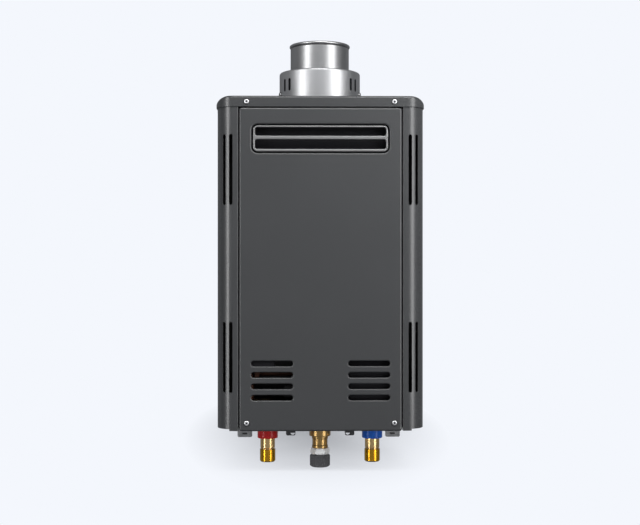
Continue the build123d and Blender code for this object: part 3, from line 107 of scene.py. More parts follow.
class Body(Enum):
    """The moving bodies of the heater that new pieces ride on."""

    CASING = "casing"
    COVER = "cover"


class Element(Enum):
    """What a selection in edit mode is made of, and the mesh's list of it."""

    VERT = "verts"
    EDGE = "edges"
    FACE = "faces"


# Node trees


class Graph:
    """The nodes of a material or of the world, with short ways to add and join them."""

    def __init__(self, owner: bpy.types.Material | bpy.types.World) -> None:
        """Switch the owner's nodes on."""
        owner.use_nodes = True
        self._tree = owner.node_tree

    def fill(self, node: bpy.types.Node, inputs: Inputs) -> bpy.types.Node:
        """Set a node's inputs: another node's socket is linked, anything else is the value.

        Args:
            node: the node.
            inputs: what goes into each input, by its name or number.

        Returns:
            The node.
        """
        for key, value in inputs.items():
            if isinstance(value, bpy.types.NodeSocket):
                self._tree.links.new(value, node.inputs[key])
            else:
                node.inputs[key].default_value = value
        return node

    def start(self, name: str, inputs: Inputs) -> bpy.types.Node:
        """Set the inputs of a node that is there from the start."""
        return self.fill(self._tree.nodes[name], inputs)

    def add(self, kind: str, inputs: Inputs, **settings: object) -> bpy.types.Node:
        """Add a node.

        Args:
            kind: the node's type.
            inputs: what goes into each input, by its name or number.
            settings: the node's own properties, set before its inputs.

        Returns:
            The node.
        """
        node = self._tree.nodes.new(kind)
        for key, value in settings.items():
            setattr(node, key, value)
        return self.fill(node, inputs)

    def span(self, value: Socket, given: Range, wanted: Range = (0.0, 1.0)) -> Socket:
        """Map one range of a value to another.

        Args:
            value: the value.
            given: the range that comes in.
            wanted: the range that goes out.

        Returns:
            The mapped value.
        """
        ends = zip(("From Min", "From Max", "To Min", "To Max"), (*given, *wanted))
        return self.add("ShaderNodeMapRange", {"Value": value, **dict(ends)}).outputs["Result"]

    def ramp(self, value: Socket, stops: Sequence[tuple[float, Colour]]) -> Socket:
        """Turn a value into a colour.

        Args:
            value: the value.
            stops: the place and the colour of each stop, in order.

        Returns:
            The colour.
        """
        node = self.add("ShaderNodeValToRGB", {"Fac": value})
        elements = node.color_ramp.elements
        for share, _ in stops[1:-1]:
            elements.new(share)
        for element, (share, colour) in zip(elements, stops):
            element.position = share
            element.color = (*colour, 1)
        return node.outputs["Color"]

    def blend(self, share: Socket, first: Socket, second: Socket) -> Socket:
        """Mix two shaders by the share of the second."""
        return self.add("ShaderNodeMixShader", {0: share, 1: first, 2: second}).outputs[0]


# Finishes


@dataclass(frozen=True)
class Finish:
    """A procedural material: a base colour with a drift, a grain and a bump.

    Args:
        name: the material's name.
        colour: the base colour, linear.
        drift: how far the colour strays from the base, as a share of it.
        metallic: 1 for bare metal.
        roughness: the middle of the roughness range.
        rough_spread: how far the roughness strays each way.
        grain: the direction and fineness of the texture.
        relief: the depth of the bump, in metres.
        strength: how strongly the bump turns the surface.
        coat: weight of a clear coat.
        specular: level of the plain reflection, 0.5 for most surfaces.
        stain: the colour of soft large patches.
        stain_share: how much of the stain shows.
    """

    name: str
    colour: Colour
    drift: float = 0.08
    metallic: float = 0.0
    roughness: float = 0.5
    rough_spread: float = 0.06
    grain: Grain = Grain.PEEL
    relief: float = 0.00004
    strength: float = 0.25
    coat: float = 0.0
    specular: float = 0.5
    stain: Colour = (0.1, 0.1, 0.1)
    stain_share: float = 0.0

    def make(self) -> bpy.types.Material:
        """Build the material's nodes.

        Returns:
            The finished material.
        """
        material = bpy.data.materials.new(self.name)
        graph = Graph(material)
        place = graph.add("ShaderNodeTexCoord", {}).outputs["Object"]
        spread = graph.add("ShaderNodeMapping", {"Vector": place, "Scale": self.grain.value})
        marks = {"Vector": spread.outputs["Vector"], "Scale": 1.0, "Detail": 3.0}
        fine = graph.add("ShaderNodeTexNoise", marks).outputs["Fac"]
        broad = graph.add("ShaderNodeTexNoise", {"Vector": place, "Scale": 9.0, "Detail": 4.0}).outputs["Fac"]
        strays = (-self.drift, self.drift)
        dark, light = (tuple(min(c * (1 + stray), 1) for c in self.colour) for stray in strays)
        tint = graph.ramp(fine, [(0.3, dark), (0.7, light)])
        patches = graph.span(broad, (0.45, 0.75), (0.0, self.stain_share))
        colours = {"Factor": patches, "A": tint, "B": (*self.stain, 1)}
        mix = graph.add("ShaderNodeMix", colours, data_type="RGBA")
        rough = (self.roughness - self.rough_spread, self.roughness + self.rough_spread)
        relief = {"Height": fine, "Strength": self.strength, "Distance": self.relief}
        bump = graph.add("ShaderNodeBump", relief)
        graph.start("Principled BSDF", {
            "Base Color": mix.outputs["Result"],
            "Metallic": self.metallic,
            "Roughness": graph.span(fine, (0.3, 0.7), rough),
            "Normal": bump.outputs["Normal"],
            "Coat Weight": self.coat,
            "Coat Roughness": 0.15,
            "Specular IOR Level": self.specular,
        })
        return material


class Finishes:
    """Every finish on the heater, each made once and handed out by its record slot."""

    ALL: dict[str, Finish] = {
        "case_paint": Finish(
            "powder_coat", (0.024, 0.0247, 0.0256), roughness=0.28, rough_spread=0.03,
            relief=0.00003, strength=0.10, stain=(0.028, 0.0288, 0.0298), stain_share=0.5,
        ),
        "bracket_zinc": Finish(
            "dull_zinc", (0.24, 0.243, 0.247), drift=0.22, metallic=0.55, roughness=0.5,
            grain=Grain.SPANGLE, relief=0.00002, strength=0.15, stain=(0.24, 0.24, 0.245), stain_share=0.35,
        ),
        "louver_satin": Finish(
            "satin_bar", (0.22, 0.22, 0.222), drift=0.10, metallic=0.85, roughness=0.42, rough_spread=0.07,
            grain=Grain.ACROSS, relief=0.00002, strength=0.2,
        ),
        "flue_steel": Finish(
            "spun_steel", (0.42, 0.423, 0.43), drift=0.03, metallic=1.0, roughness=0.42, rough_spread=0.04,
            grain=Grain.SPUN, relief=0.000005, strength=0.06, stain=(0.40, 0.405, 0.415), stain_share=0.25,
        ),
        "pipe_steel": Finish(
            "drawn_steel", (0.34, 0.342, 0.345), drift=0.03, metallic=1.0, roughness=0.38, rough_spread=0.04,
            grain=Grain.SPUN, relief=0.000005, strength=0.06, stain=(0.33, 0.332, 0.34), stain_share=0.25,
        ),
        "screw_bright": Finish(
            "bright_plate", (0.88, 0.88, 0.89), drift=0.04, metallic=1.0, roughness=0.36, rough_spread=0.05,
            grain=Grain.TURNED, relief=0.00001, strength=0.1,
        ),
        "screw_dull": Finish(
            "dull_plate", (0.22, 0.22, 0.225), drift=0.04, metallic=1.0, roughness=0.45, rough_spread=0.05,
            grain=Grain.TURNED, relief=0.00001, strength=0.1,
        ),
        "fitting_brass": Finish(
            "turned_brass", (0.74, 0.52, 0.24), drift=0.06, metallic=1.0, roughness=0.25, rough_spread=0.03,
            grain=Grain.TURNED, relief=0.000005, strength=0.08, stain=(0.62, 0.40, 0.15), stain_share=0.3,
        ),
        "thread_brass": Finish(
            "cut_thread", (0.78, 0.47, 0.045), drift=0.06, metallic=1.0, roughness=0.21, rough_spread=0.03,
            grain=Grain.TURNED, relief=0.000005, strength=0.1, stain=(0.64, 0.36, 0.03), stain_share=0.3,
        ),
        "gas_brass": Finish(
            "dull_brass", (0.46, 0.30, 0.12), drift=0.06, metallic=1.0, roughness=0.30, rough_spread=0.03,
            grain=Grain.TURNED, relief=0.000005, strength=0.1, stain=(0.33, 0.20, 0.07), stain_share=0.5,
        ),
        # Copper darkened overall as painted shade: it is seen only inside the case, through the slots.
        "copper": Finish(
            "aged_copper", (0.10, 0.046, 0.03), drift=0.12, metallic=0.8, rough_spread=0.08,
            grain=Grain.SPUN, relief=0.00001, strength=0.15, stain=(0.10, 0.05, 0.035), stain_share=0.6,
        ),
        "ring_red": Finish(
            "red_moulding", (0.34, 0.002, 0.003), drift=0.06, roughness=0.28, rough_spread=0.03,
            grain=Grain.MOULDED, relief=0.00002, strength=0.08, specular=0.3,
        ),
        "ring_blue": Finish(
            "blue_moulding", (0.0, 0.065, 0.33), drift=0.06, roughness=0.28, rough_spread=0.03,
            grain=Grain.MOULDED, relief=0.00002, strength=0.08, specular=0.3,
        ),
        "nut_steel": Finish(
            "plated_nut", (0.96, 0.96, 0.95), drift=0.03, metallic=0.85, roughness=0.60, rough_spread=0.05,
            grain=Grain.CAST, relief=0.00001, strength=0.1,
        ),
        "nut_black": Finish(
            "black_oxide", (0.062, 0.062, 0.065), metallic=0.3, roughness=0.26, rough_spread=0.03,
            grain=Grain.CAST, relief=0.00002, strength=0.08, specular=0.8,
        ),
        "inner_steel": Finish(
            "aluminised_sheet", (0.30, 0.305, 0.31), drift=0.12, metallic=0.9, roughness=0.42,
            grain=Grain.SPANGLE, relief=0.00002, strength=0.15, stain=(0.22, 0.22, 0.225), stain_share=0.4,
        ),
        "valve_alloy": Finish(
            "cast_alloy", (0.36, 0.365, 0.37), drift=0.10, metallic=0.8, rough_spread=0.1,
            grain=Grain.CAST, relief=0.00008, strength=0.4,
        ),
        "black_plastic": Finish(
            "black_moulding", (0.008, 0.008, 0.009), drift=0.15, roughness=0.55,
            grain=Grain.MOULDED, relief=0.00003, strength=0.2, specular=0.25,
        ),
        "grey_plastic": Finish(
            "grey_moulding", (0.16, 0.165, 0.17), roughness=0.5,
            grain=Grain.MOULDED, relief=0.00003, strength=0.2,
        ),
        "board_green": Finish(
            "board_laminate", (0.012, 0.11, 0.045), drift=0.2, roughness=0.35,
            grain=Grain.CAST, relief=0.00002, strength=0.1, coat=0.3,
        ),
        "ceramic": Finish(
            "glazed_ceramic", (0.46, 0.44, 0.40), drift=0.04, roughness=0.35, grain=Grain.CAST,
            relief=0.00001, strength=0.1, coat=0.4,
        ),
        "seal": Finish(
            "foam_rubber", (0.012, 0.012, 0.012), drift=0.3, roughness=0.85, grain=Grain.CAST,
            relief=0.0002, strength=0.6,
        ),
        # Black used as painted shade: screw sockets and the dished rings under the heads, the flue pipe's
        # seam and its part inside the collar, and the thin plates in the bracket legs' slots.
        "socket_dark": Finish(
            "dark_socket", (0.012, 0.012, 0.013), drift=0.2, roughness=0.6, grain=Grain.CAST,
            relief=0.00003, strength=0.2,
        ),
        # Near-black with little reflection, painted as shade on the nodes behind the louver and the slots,
        # inside the collar's wall and slots, and on the sheet behind the collar's slots.
        "tray_black": Finish(
            "black_tray", (0.005, 0.005, 0.006), drift=0.12, roughness=0.6, grain=Grain.PEEL,
            strength=0.2, specular=0.06,
        ),
    }

    def __init__(self) -> None:
        """Start with no finish made."""
        self._made: dict[str, bpy.types.Material] = {}

    def get(self, slot: str) -> bpy.types.Material:
        """Hand out the material of a slot, made on its first use.

        Args:
            slot: the record's slot name or a name of this class's own.

        Returns:
            The material.
        """
        if slot not in self._made:
            self._made[slot] = self.ALL[slot].make()
        return self._made[slot]


FINISHES = Finishes()


# Modelling steps


def deselect() -> None:
    """Deselect everything, so that an operator acts only on what comes next."""
    bpy.ops.object.select_all(action="DESELECT")


def only(piece: Piece) -> None:
    """Select one piece and make it the active one.

    Args:
        piece: the piece.
    """
    deselect()
    piece.select_set(True)
    bpy.context.view_layer.objects.active = piece


@contextmanager
def editing(piece: Piece) -> Iterator[None]:
    """Edit mode on one piece with nothing selected, left again at the end.

    Args:
        piece: the piece to edit.
    """
    only(piece)
    bpy.ops.object.mode_set(mode="EDIT")
    bpy.ops.mesh.select_all(action="DESELECT")
    yield
    bpy.ops.object.mode_set(mode="OBJECT")


def middle(edge: Edge) -> Vector:
    """The middle of an edge."""
    return (edge.verts[0].co + edge.verts[1].co) / 2


def runs(edge: Edge, axis: int) -> bool:
    """Whether an edge runs along an axis: 0 for X, 1 for Y, 2 for Z."""
    span = edge.verts[0].co - edge.verts[1].co
    return abs(span[axis]) > 0.99 * span.length


def edges_at(along: int, across: int, place: float) -> EdgeTest:
    """A test for the edges that run along one axis at a place on another."""
    return lambda edge: runs(edge, along) and abs(middle(edge)[across] - place) < NEAR


def choose(piece: Piece, kind: Element, test: Callable[..., bool]) -> None:
    """Select the elements of one kind that pass a test, in edit mode.

    Args:
        piece: the piece being edited.
        kind: vertices, edges or faces.
        test: says whether an element is wanted.
    """
    bpy.ops.mesh.select_mode(type=kind.name)
    bpy.ops.mesh.select_all(action="DESELECT")
    mesh = bmesh.from_edit_mesh(piece.data)
    for element in getattr(mesh, kind.value):
        if test(element):
            element.select_set(True)
    bmesh.update_edit_mesh(piece.data)


def apply_place(piece: Piece) -> None:
    """Put a piece's place, turn and size into its mesh."""
    only(piece)
    bpy.ops.object.transform_apply(location=True, rotation=True, scale=True)


def named(name: str) -> Piece:
    """Name the object that an operator has just added.

    Args:
        name: its name and its mesh's.

    Returns:
        The object.
    """
    piece = bpy.context.active_object
    piece.name = name
    piece.data.name = name
    return piece


def block(name: str, low: Point, high: Point) -> Piece:
    """Add a box between two corners.

    Args:
        name: the piece's name.
        low: the lowest corner.
        high: the highest corner.

    Returns:
        The box, with its place in its mesh.
    """
    deselect()
    centre = [(a + b) / 2 for a, b in zip(low, high)]
    bpy.ops.mesh.primitive_cube_add(size=1.0, location=centre)
    piece = named(name)
    piece.scale = [b - a for a, b in zip(low, high)]
    apply_place(piece)
    return piece


def round_edges(piece: Piece, test: EdgeTest, radius: float, steps: int) -> None:
    """Round the edges that pass a test.

    Args:
        piece: the piece.
        test: says whether an edge is rounded.
        radius: the radius of the round.
        steps: the number of segments in it.
    """
    with editing(piece):
        choose(piece, Element.EDGE, test)
        bpy.ops.mesh.bevel(offset=radius, segments=steps, affect="EDGES", clamp_overlap=True)


def front_block(
    name: str, centre: Pair, half: Pair, depth: Pair, radius: float, steps: int = CORNER_STEPS
) -> Piece:
    """Add a block whose corners are rounded as seen from the front.

    Args:
        name: the piece's name.
        centre: its middle, across and up.
        half: half of its width and height.
        depth: the place of its front and of its back.
        radius: the radius of its corners.
        steps: the number of segments in each round.

    Returns:
        The block.
    """
    (x, z), (half_x, half_z) = centre, half
    piece = block(name, (x - half_x, depth[0], z - half_z), (x + half_x, depth[1], z + half_z))
    round_edges(piece, lambda edge: runs(edge, 1), radius, steps)
    return piece


def remove_faces(piece: Piece, test: Callable[[bmesh.types.BMFace], bool]) -> None:
    """Delete the faces that pass a test.

    Args:
        piece: the piece.
        test: says whether a face goes.
    """
    with editing(piece):
        choose(piece, Element.FACE, test)
        bpy.ops.mesh.delete(type="FACE")


def apply_modifier(piece: Piece, kind: str, **settings: object) -> None:
    """Add a modifier, set it up and apply it.

    Args:
        piece: the piece.
        kind: the modifier's type.
        settings: its properties.
    """
    only(piece)
    modifier = piece.modifiers.new(kind.lower(), kind)
    for key, value in settings.items():
        setattr(modifier, key, value)
    bpy.ops.object.modifier_apply(modifier=modifier.name)


def ease(piece: Piece, width: float, angle: float, **settings: object) -> None:
    """Soften every edge that turns more than an angle.

    Args:
        piece: the piece.
        width: the width of the softened edges.
        angle: the angle, in degrees.
        settings: other properties of the bevel.
    """
    limit = math.radians(angle)
    apply_modifier(
        piece, "BEVEL", width=width, segments=2, limit_method="ANGLE", angle_limit=limit, **settings
    )


def thicken(piece: Piece, wall: float) -> None:
    """Give an open shell a wall that grows inwards."""
    apply_modifier(piece, "SOLIDIFY", thickness=wall, offset=-1.0, use_even_offset=True)


def cut(piece: Piece, cutters: list[Piece], operation: str = "DIFFERENCE") -> None:
    """Cut a piece with other solids, which are then removed.

    Args:
        piece: the piece to cut.
        cutters: the cutting solids, clear of each other.
        operation: the boolean's operation.
    """
    tool = join(cutters) if len(cutters) > 1 else cutters[0]
    apply_modifier(piece, "BOOLEAN", object=tool, solver="EXACT", operation=operation)
    bpy.data.objects.remove(tool)


def join(parts: list[Piece]) -> Piece:
    """Join parts into the first of them.

    Args:
        parts: the parts, the first of which gives the name.

    Returns:
        The joined piece.
    """
    deselect()
    for part in parts:
        part.select_set(True)
    bpy.context.view_layer.objects.active = parts[0]
    bpy.ops.object.join()
    return parts[0]


def copied(piece: Piece, name: str) -> Piece:
    """Copy a piece with a mesh of its own.

    Args:
        piece: the piece to copy.
        name: the copy's name.

    Returns:
        The copy.
    """
    twin = piece.copy()
    twin.data = piece.data.copy()
    twin.name = name
    twin.data.name = name
    bpy.context.collection.objects.link(twin)
    return twin


def moved(piece: Piece, by: Point) -> Piece:
    """Move a piece and keep its place in its mesh.

    Args:
        piece: the piece.
        by: how far it goes along X, Y and Z.

    Returns:
        The piece.
    """
    piece.location = by
    apply_place(piece)
    return piece


def face_outwards() -> None:
    """Turn all faces of the piece being edited outwards."""
    bpy.ops.mesh.select_all(action="SELECT")
    bpy.ops.mesh.normals_make_consistent(inside=False)


def mirrored(piece: Piece, name: str) -> Piece:
    """Make the left-hand twin of a right-hand piece.

    Args:
        piece: the piece at the right.
        name: the twin's name.

    Returns:
        The twin, with its faces turned outwards again.
    """
    twin = copied(piece, name)
    twin.scale = (-1, 1, 1)
    apply_place(twin)
    with editing(twin):
        face_outwards()
    return twin


def facing(piece: Piece, point: Point, direction: Point) -> Piece:
    """Turn a piece made on the Z axis to a direction and set it at a point.

    Args:
        piece: the piece, standing on the origin along +Z.
        point: where its foot goes.
        direction: where its top points.

    Returns:
        The placed piece.
    """
    turn = Vector(direction).to_track_quat("Z", "Y").to_matrix().to_4x4()
    piece.matrix_world = Matrix.Translation(Vector(point)) @ turn
    apply_place(piece)
    return piece


def lathe(
    name: str, profile: Profile, centre: Point = (0, 0, 0), steps: int = SMALL_ROUND, closed: bool = False
) -> Piece:
    """Turn a profile round an upright axis, one ring after another.

    Args:
        name: the piece's name.
        profile: radius and height of each ring, in metres from the centre.
        centre: the foot of the axis.
        steps: the number of segments round.
        closed: joins the last ring to the first, for a wall with two sides.

    Returns:
        The turned piece, capped at its ends unless it is closed.
    """
    deselect()
    first_radius, first_height = profile[0]
    start = (centre[0], centre[1], centre[2] + first_height)
    bpy.ops.mesh.primitive_circle_add(vertices=steps, radius=first_radius, location=start)
    piece = named(name)
    apply_place(piece)
    with editing(piece):
        bpy.ops.mesh.select_mode(type="EDGE")
        bpy.ops.mesh.select_all(action="SELECT")
        if not closed:
            bpy.ops.mesh.edge_face_add()
            choose(piece, Element.EDGE, lambda edge: True)
        for (radius_a, height_a), (radius_b, height_b) in zip(profile, profile[1:]):
            bpy.ops.mesh.extrude_edges_move(TRANSFORM_OT_translate={"value": (0, 0, height_b - height_a)})
            grow = radius_b / radius_a
            pivot = (centre[0], centre[1], centre[2] + height_b)
            bpy.ops.transform.resize(value=(grow, grow, 1), center_override=pivot)
        if closed:
            bpy.ops.mesh.select_all(action="SELECT")
            bpy.ops.mesh.remove_doubles(threshold=NEAR)
        else:
            bpy.ops.mesh.edge_face_add()
        face_outwards()
    return piece


def arc(radius: float, height: float, bend: float, start: float, end: float, steps: int) -> Profile:
    """Points of a round in a profile.

    Args:
        radius: the round's centre, from the axis.
        height: the round's centre, up the axis.
        bend: the radius of the round.
        start: its first angle in degrees, 0 outwards and 90 up.
        end: its last angle.
        steps: the number of segments.

    Returns:
        The points, first to last.
    """
    angles = [math.radians(start + (end - start) * i / steps) for i in range(steps + 1)]
    return [(radius + bend * math.cos(a), height + bend * math.sin(a)) for a in angles]


def scaled(profile: Profile) -> Profile:
    """A profile in millimetres turned into metres."""
    return [(radius * MM, height * MM) for radius, height in profile]


def heights(node: str) -> Range:
    """The lowest and the highest height of one of the frame's nodes, in millimetres."""
    low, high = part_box(node)
    return low[2] / MM, high[2] / MM


def middle_of(node: str) -> Vector:
    """The middle of the box of one of the frame's nodes."""
    low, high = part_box(node)
    return (Vector(low) + Vector(high)) / 2


def slot_cutters(
    axis: Point, reach: float, turns: Sequence[float], levels: Sequence[float], size: Pair, depth: float
) -> list[Piece]:
    """Add cutters for upright slots in a wall that bends round an upright axis.

    Args:
        axis: the axis, across and deep.
        reach: the radius of the wall.
        turns: the angle of each column of slots from the front, in degrees.
        levels: the height of the middle of each row.
        size: the width and the height of a slot.
        depth: how far a cutter reaches past the wall on each side.

    Returns:
        The cutters: one, and its copies.
    """
    half = (size[0] / 2, size[1] / 2)
    wall = (-reach - depth, -reach + depth)
    cutters = [front_block("slot_cutter", (0, 0), half, wall, half[0] * SLOT_END, SLOT_STEPS)]
    spots = [(turn, level) for turn in turns for level in levels]
    cutters += [copied(cutters[0], "slot_cutter") for _ in spots[1:]]
    for cutter, (turn, level) in zip(cutters, spots):
        lift = Matrix.Translation((axis[0], axis[1], level))
        cutter.matrix_world = lift @ Matrix.Rotation(math.radians(turn), 4, "Z")
        apply_place(cutter)
    return cutters


def paint(piece: Piece, finish: str, second: str = "", test: FaceTest | None = None) -> None:
    """Give a piece its finish, and a second one on some of its faces.

    Args:
        piece: the piece.
        finish: the name of its finish.
        second: the name of the second finish.
        test: says whether a face has the second finish.
    """
    piece.data.materials.append(FINISHES.get(finish))
    if test:
        piece.data.materials.append(FINISHES.get(second))
        for face in piece.data.polygons:
            face.material_index = int(test(face))


def dress(
    piece: Piece,
    slot: str,
    nodes: Sequence[str] = (),
    body: Body = Body.CASING,
    soften: float = 0.0,
    smooth: float = 35.0,
    finish: str = "",
) -> None:
    """Finish a piece: soft edges, smooth shading, material, and its place in the frame.

    Args:
        piece: the piece.
        slot: the record's slot that it takes its finish from.
        nodes: the frame's nodes that it stands for.
        body: the body that it rides on.
        soften: the width of the softened edges, or 0.
        smooth: the angle up to which edges are shaded smooth, in degrees.
        finish: a finish other than the slot's own.
    """
    if soften:
        ease(piece, soften, smooth, miter_outer="MITER_ARC")
    only(piece)
    bpy.ops.object.shade_smooth_by_angle(angle=math.radians(smooth))
    apply_modifier(piece, "WEIGHTED_NORMAL", keep_sharp=True)
    if not piece.data.materials:
        paint(piece, finish or slot)
    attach(piece, body.value)
    if nodes:
        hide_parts(*nodes)
    LOG.info("%s rides on %s, %d faces", piece.name, body.value, len(piece.data.polygons))


# The heater's assemblies


@dataclass
class Screws:
    """Pan-head screws with a round socket, on a black dished ring; the socket's floor and the ring are
    painted shade.
    """

    head: float = 4.2 * MM
    foot: float = 0.25 * MM
    rim: float = 0.9 * MM
    rise: float = 2.8 * MM
    dome: float = 1.3 * MM
    dome_place: Pair = (1.5 * MM, 1.3 * MM)
    socket: float = 1.55 * MM
    socket_lips: tuple[Pair, ...] = ((0.5 * MM, 0.0), (0.1 * MM, 0.1 * MM), (0.0, 0.4 * MM))
    deep: Pair = (0.5 * MM, 2.3 * MM)
    shade_ring: float = 5.1 * MM
    shade_ring_rim: Pair = (0.2 * MM, 0.35 * MM)
    shade_ring_dip: Pair = (0.3 * MM, 0.12 * MM)
    finish: str = "screw_bright"

    def model(self, name: str) -> Piece:
        """Model one screw on the origin, facing +Z.

        Args:
            name: the screw's name.

        Returns:
            The screw, with its black dished ring of painted shade, in two finishes.
        """
        inset, drop = self.dome_place
        outline = [(self.head, self.foot), (self.head, self.rim)]
        outline += arc(self.head - inset, self.rise - drop, self.dome, 30, 85, 5)
        outline += [(self.socket + out, self.rise - down) for out, down in self.socket_lips]
        outline += [(self.socket, self.rim)]
        head = lathe(name, outline, steps=SCREW_ROUND)

        def shaded_socket(face: Polygon) -> bool:
            """Whether a face is down in the socket, where it is painted black as shade."""
            low_down = self.deep[0] < face.center.z < self.deep[1]
            return low_down and face.center.xy.length < self.socket + NEAR

        # The socket's floor takes the black finish: painted shade.
        paint(head, self.finish, "socket_dark", shaded_socket)
        # A black dished ring under the head: a painted shadow round the screw.
        (narrow, lift), (under, dip) = self.shade_ring_rim, self.shade_ring_dip
        dish = [(self.shade_ring, 0.0), (self.shade_ring - narrow, lift), (self.head - under, dip)]
        ring = lathe(f"{name}_seat", dish, steps=SCREW_ROUND)
        paint(ring, "socket_dark")
        return join([head, ring])

    def row(
        self, name: str, node: str, places: Sequence[tuple[Point, Point]], body: Body = Body.CASING
    ) -> None:
        """Model one screw, set its copies at their places and dress them.

        Args:
            name: the start of each screw's name.
            node: the frame's node that they stand for.
            places: the foot and the facing of each.
            body: the body that they ride on.
        """
        screws = [self.model(f"{name}_1")]
        screws += [copied(screws[0], f"{name}_{number}") for number in range(2, len(places) + 1)]
        for screw, (point, direction) in zip(screws, places):
            dress(facing(screw, point, direction), "screw_bright", [node], body)


@dataclass
class Casing:
    """The painted shell: two side panels, the cap and its screws."""

    sheet: float = 1.2 * MM
    corner: float = 30.0 * MM
    corner_steps: int = 20
    bend: float = 1.6 * MM
    flange: float = 14.0 * MM
    soft_edge: float = 0.25 * MM
    slot_size: Pair = (6.0 * MM, 117.5 * MM)
    slot_turns: Pair = (12.3, 36.0)
    slot_spread: float = 156.2 * MM
    slot_depth: float = 5.0 * MM
    slot_lip: float = 0.9 * MM
    foot_step: float = 3.0 * MM
    foot_inset: float = 21.2 * MM
    foot_edge: float = 0.48 * MM
    cap_edge: float = 3.6 * MM
    cap_lift: float = 1.1 * MM
    cap_corner: float = 32.0 * MM
    cap_end: Pair = (23.0 * MM, 9.4 * MM)
    neck: float = 67.4 * MM
    screw_x: float = 123.0 * MM
    screw_drop: float = 10.2 * MM
    side_screw_drop: float = 15.0 * MM

    def __post_init__(self) -> None:
        """Read the height of the cap's flat top, where the flue's collar stands."""
        self.cap_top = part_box("flue_collar")[0][2]

    def build(self) -> None:
        """Model and dress the shell."""
        right = self.side_panel()
        dress(mirrored(right, "side_panel_left"), "case_paint", ["left_side_panel"])
        dress(right, "case_paint", ["right_side_panel"])
        dress(self.cap(), "case_paint", ["top_cap"])
        low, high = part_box("top_cap")
        front_z = self.cap_top - self.screw_drop
        side_z = self.cap_top - self.side_screw_drop
        flue_y = middle_of("flue_pipe").y
        places = [((side * self.screw_x, low[1], front_z), (0, -1, 0)) for side in (-1, 1)]
        places += [((low[0], flue_y, side_z), (-1, 0, 0)), ((high[0], flue_y, side_z), (1, 0, 0))]
        Screws().row("cap_screw", "cap_screws", places)

    def side_panel(self) -> Piece:
        """Model the right-hand side panel.

        Returns:
            The panel, bent, slotted and stepped at its foot.
        """
        low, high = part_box("right_side_panel")
        panel = block("side_panel_right", low, high)

        def upright_at(x: float) -> EdgeTest:
            """A test for the front upright edge at one X."""
            return lambda e: runs(e, 2) and abs(middle(e).x - x) < NEAR and abs(middle(e).y - low[1]) < NEAR

        round_edges(panel, upright_at(high[0]), self.corner, self.corner_steps)
        round_edges(panel, upright_at(low[0]), self.bend, 4)
        remove_faces(panel, lambda f: abs(f.normal.z) > 0.9 or f.normal.y > 0.9)
        with editing(panel):
            choose(panel, Element.FACE, lambda f: f.normal.x < -0.99)
            bpy.ops.mesh.bisect(
                plane_co=(low[0], low[1] + self.flange, 0), plane_no=(0, 1, 0), clear_outer=True
            )
        thicken(panel, self.sheet)
        foot_low = (high[0] - self.foot_inset, low[1] - self.bend, low[2] - self.flange)
        foot_high = (high[0] + self.bend, high[1] + self.bend, low[2] + self.foot_step)
        foot_cutter = block("foot_cutter", foot_low, foot_high)
        axis = Vector((high[0] - self.corner, low[1] + self.corner))
        level = (low[2] + self.cap_top) / 2
        levels = (level - self.slot_spread, level + self.slot_spread)
        slots = slot_cutters(axis, self.corner, self.slot_turns, levels, self.slot_size, self.slot_depth)
        cut(panel, [*slots, foot_cutter])

        def slot_rim(edge: Edge) -> bool:
            """Whether an edge is the outer rim of one of the upright slots.

            Args:
                edge: the edge.

            Returns:
                True if it is.
            """
            spot = middle(edge)
            outside = abs((spot.xy - axis).length - self.corner) < 0.06 * MM
            upright = low[2] + self.flange < spot.z < high[2] - self.flange
            return upright and outside and edge.calc_face_angle(0) > SHARP

        round_edges(panel, slot_rim, self.slot_lip, 3)
        ease(panel, self.soft_edge, 40)
        return panel

    def cap(self) -> Piece:
        """Model the drawn top cap.

        Returns:
            The cap, rounded, hollow and open for the flue.
        """
        low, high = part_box("top_cap")
        foot = low[2] + self.cap_lift
        cap = block("top_cap_shell", (low[0], low[1], foot), (high[0], high[1], self.cap_top))
        round_edges(cap, edges_at(2, 1, low[1]), self.cap_corner, self.corner_steps)

        def rim(edge: Edge) -> bool:
            """Whether an edge is on the cap's top, at the front or a side."""
            return middle(edge).z > self.cap_top - NEAR and middle(edge).y < high[1] - NEAR

        round_edges(cap, rim, self.cap_edge, 4)
        self.lower_ends(cap, high[0])
        remove_faces(cap, lambda f: f.normal.z < -0.9)
        thicken(cap, self.sheet)
        centre = middle_of("flue_pipe").xy.to_3d() + Vector((0, 0, self.cap_top))
        cut(cap, [lathe("neck_cutter", [(self.neck, -10 * MM), (self.neck, 10 * MM)], centre, ROUND)])
        round_edges(
            cap, lambda e: e.calc_face_angle(0) > SHARP and middle(e).z < foot + NEAR, self.foot_edge, 3
        )
        return cap

    def lower_ends(self, cap: Piece, half: float) -> None:
        """Let the cap's top fall in an arc to both ends, rim and all.

        Args:
            cap: the cap, with its rim already rounded.
            half: half of its width.
        """
        run, fall = self.cap_end
        bend = (run * run + fall * fall) / (2 * fall)
        start = half - run
        level = self.cap_top - self.cap_edge - NEAR
        with editing(cap):
            for step in range(1, CORNER_STEPS + 2):
                for side in (-1, 1):
                    bpy.ops.mesh.select_all(action="SELECT")
                    across = side * (start + run * step / (CORNER_STEPS + 2))
                    bpy.ops.mesh.bisect(plane_co=(across, 0, 0), plane_no=(1, 0, 0))
            mesh = bmesh.from_edit_mesh(cap.data)
            high = [abs(v.co.x) for v in mesh.verts if v.co.z > level and abs(v.co.x) > start]
            digits, reach = 5, 0.006 * MM
            for spot in sorted({round(x, digits) for x in high}):
                choose(cap, Element.VERT, lambda v: v.co.z > level and abs(abs(v.co.x) - spot) <= reach)
                drop = bend - math.sqrt(bend * bend - (spot - start) ** 2)
                bpy.ops.transform.translate(value=(0, 0, -drop))


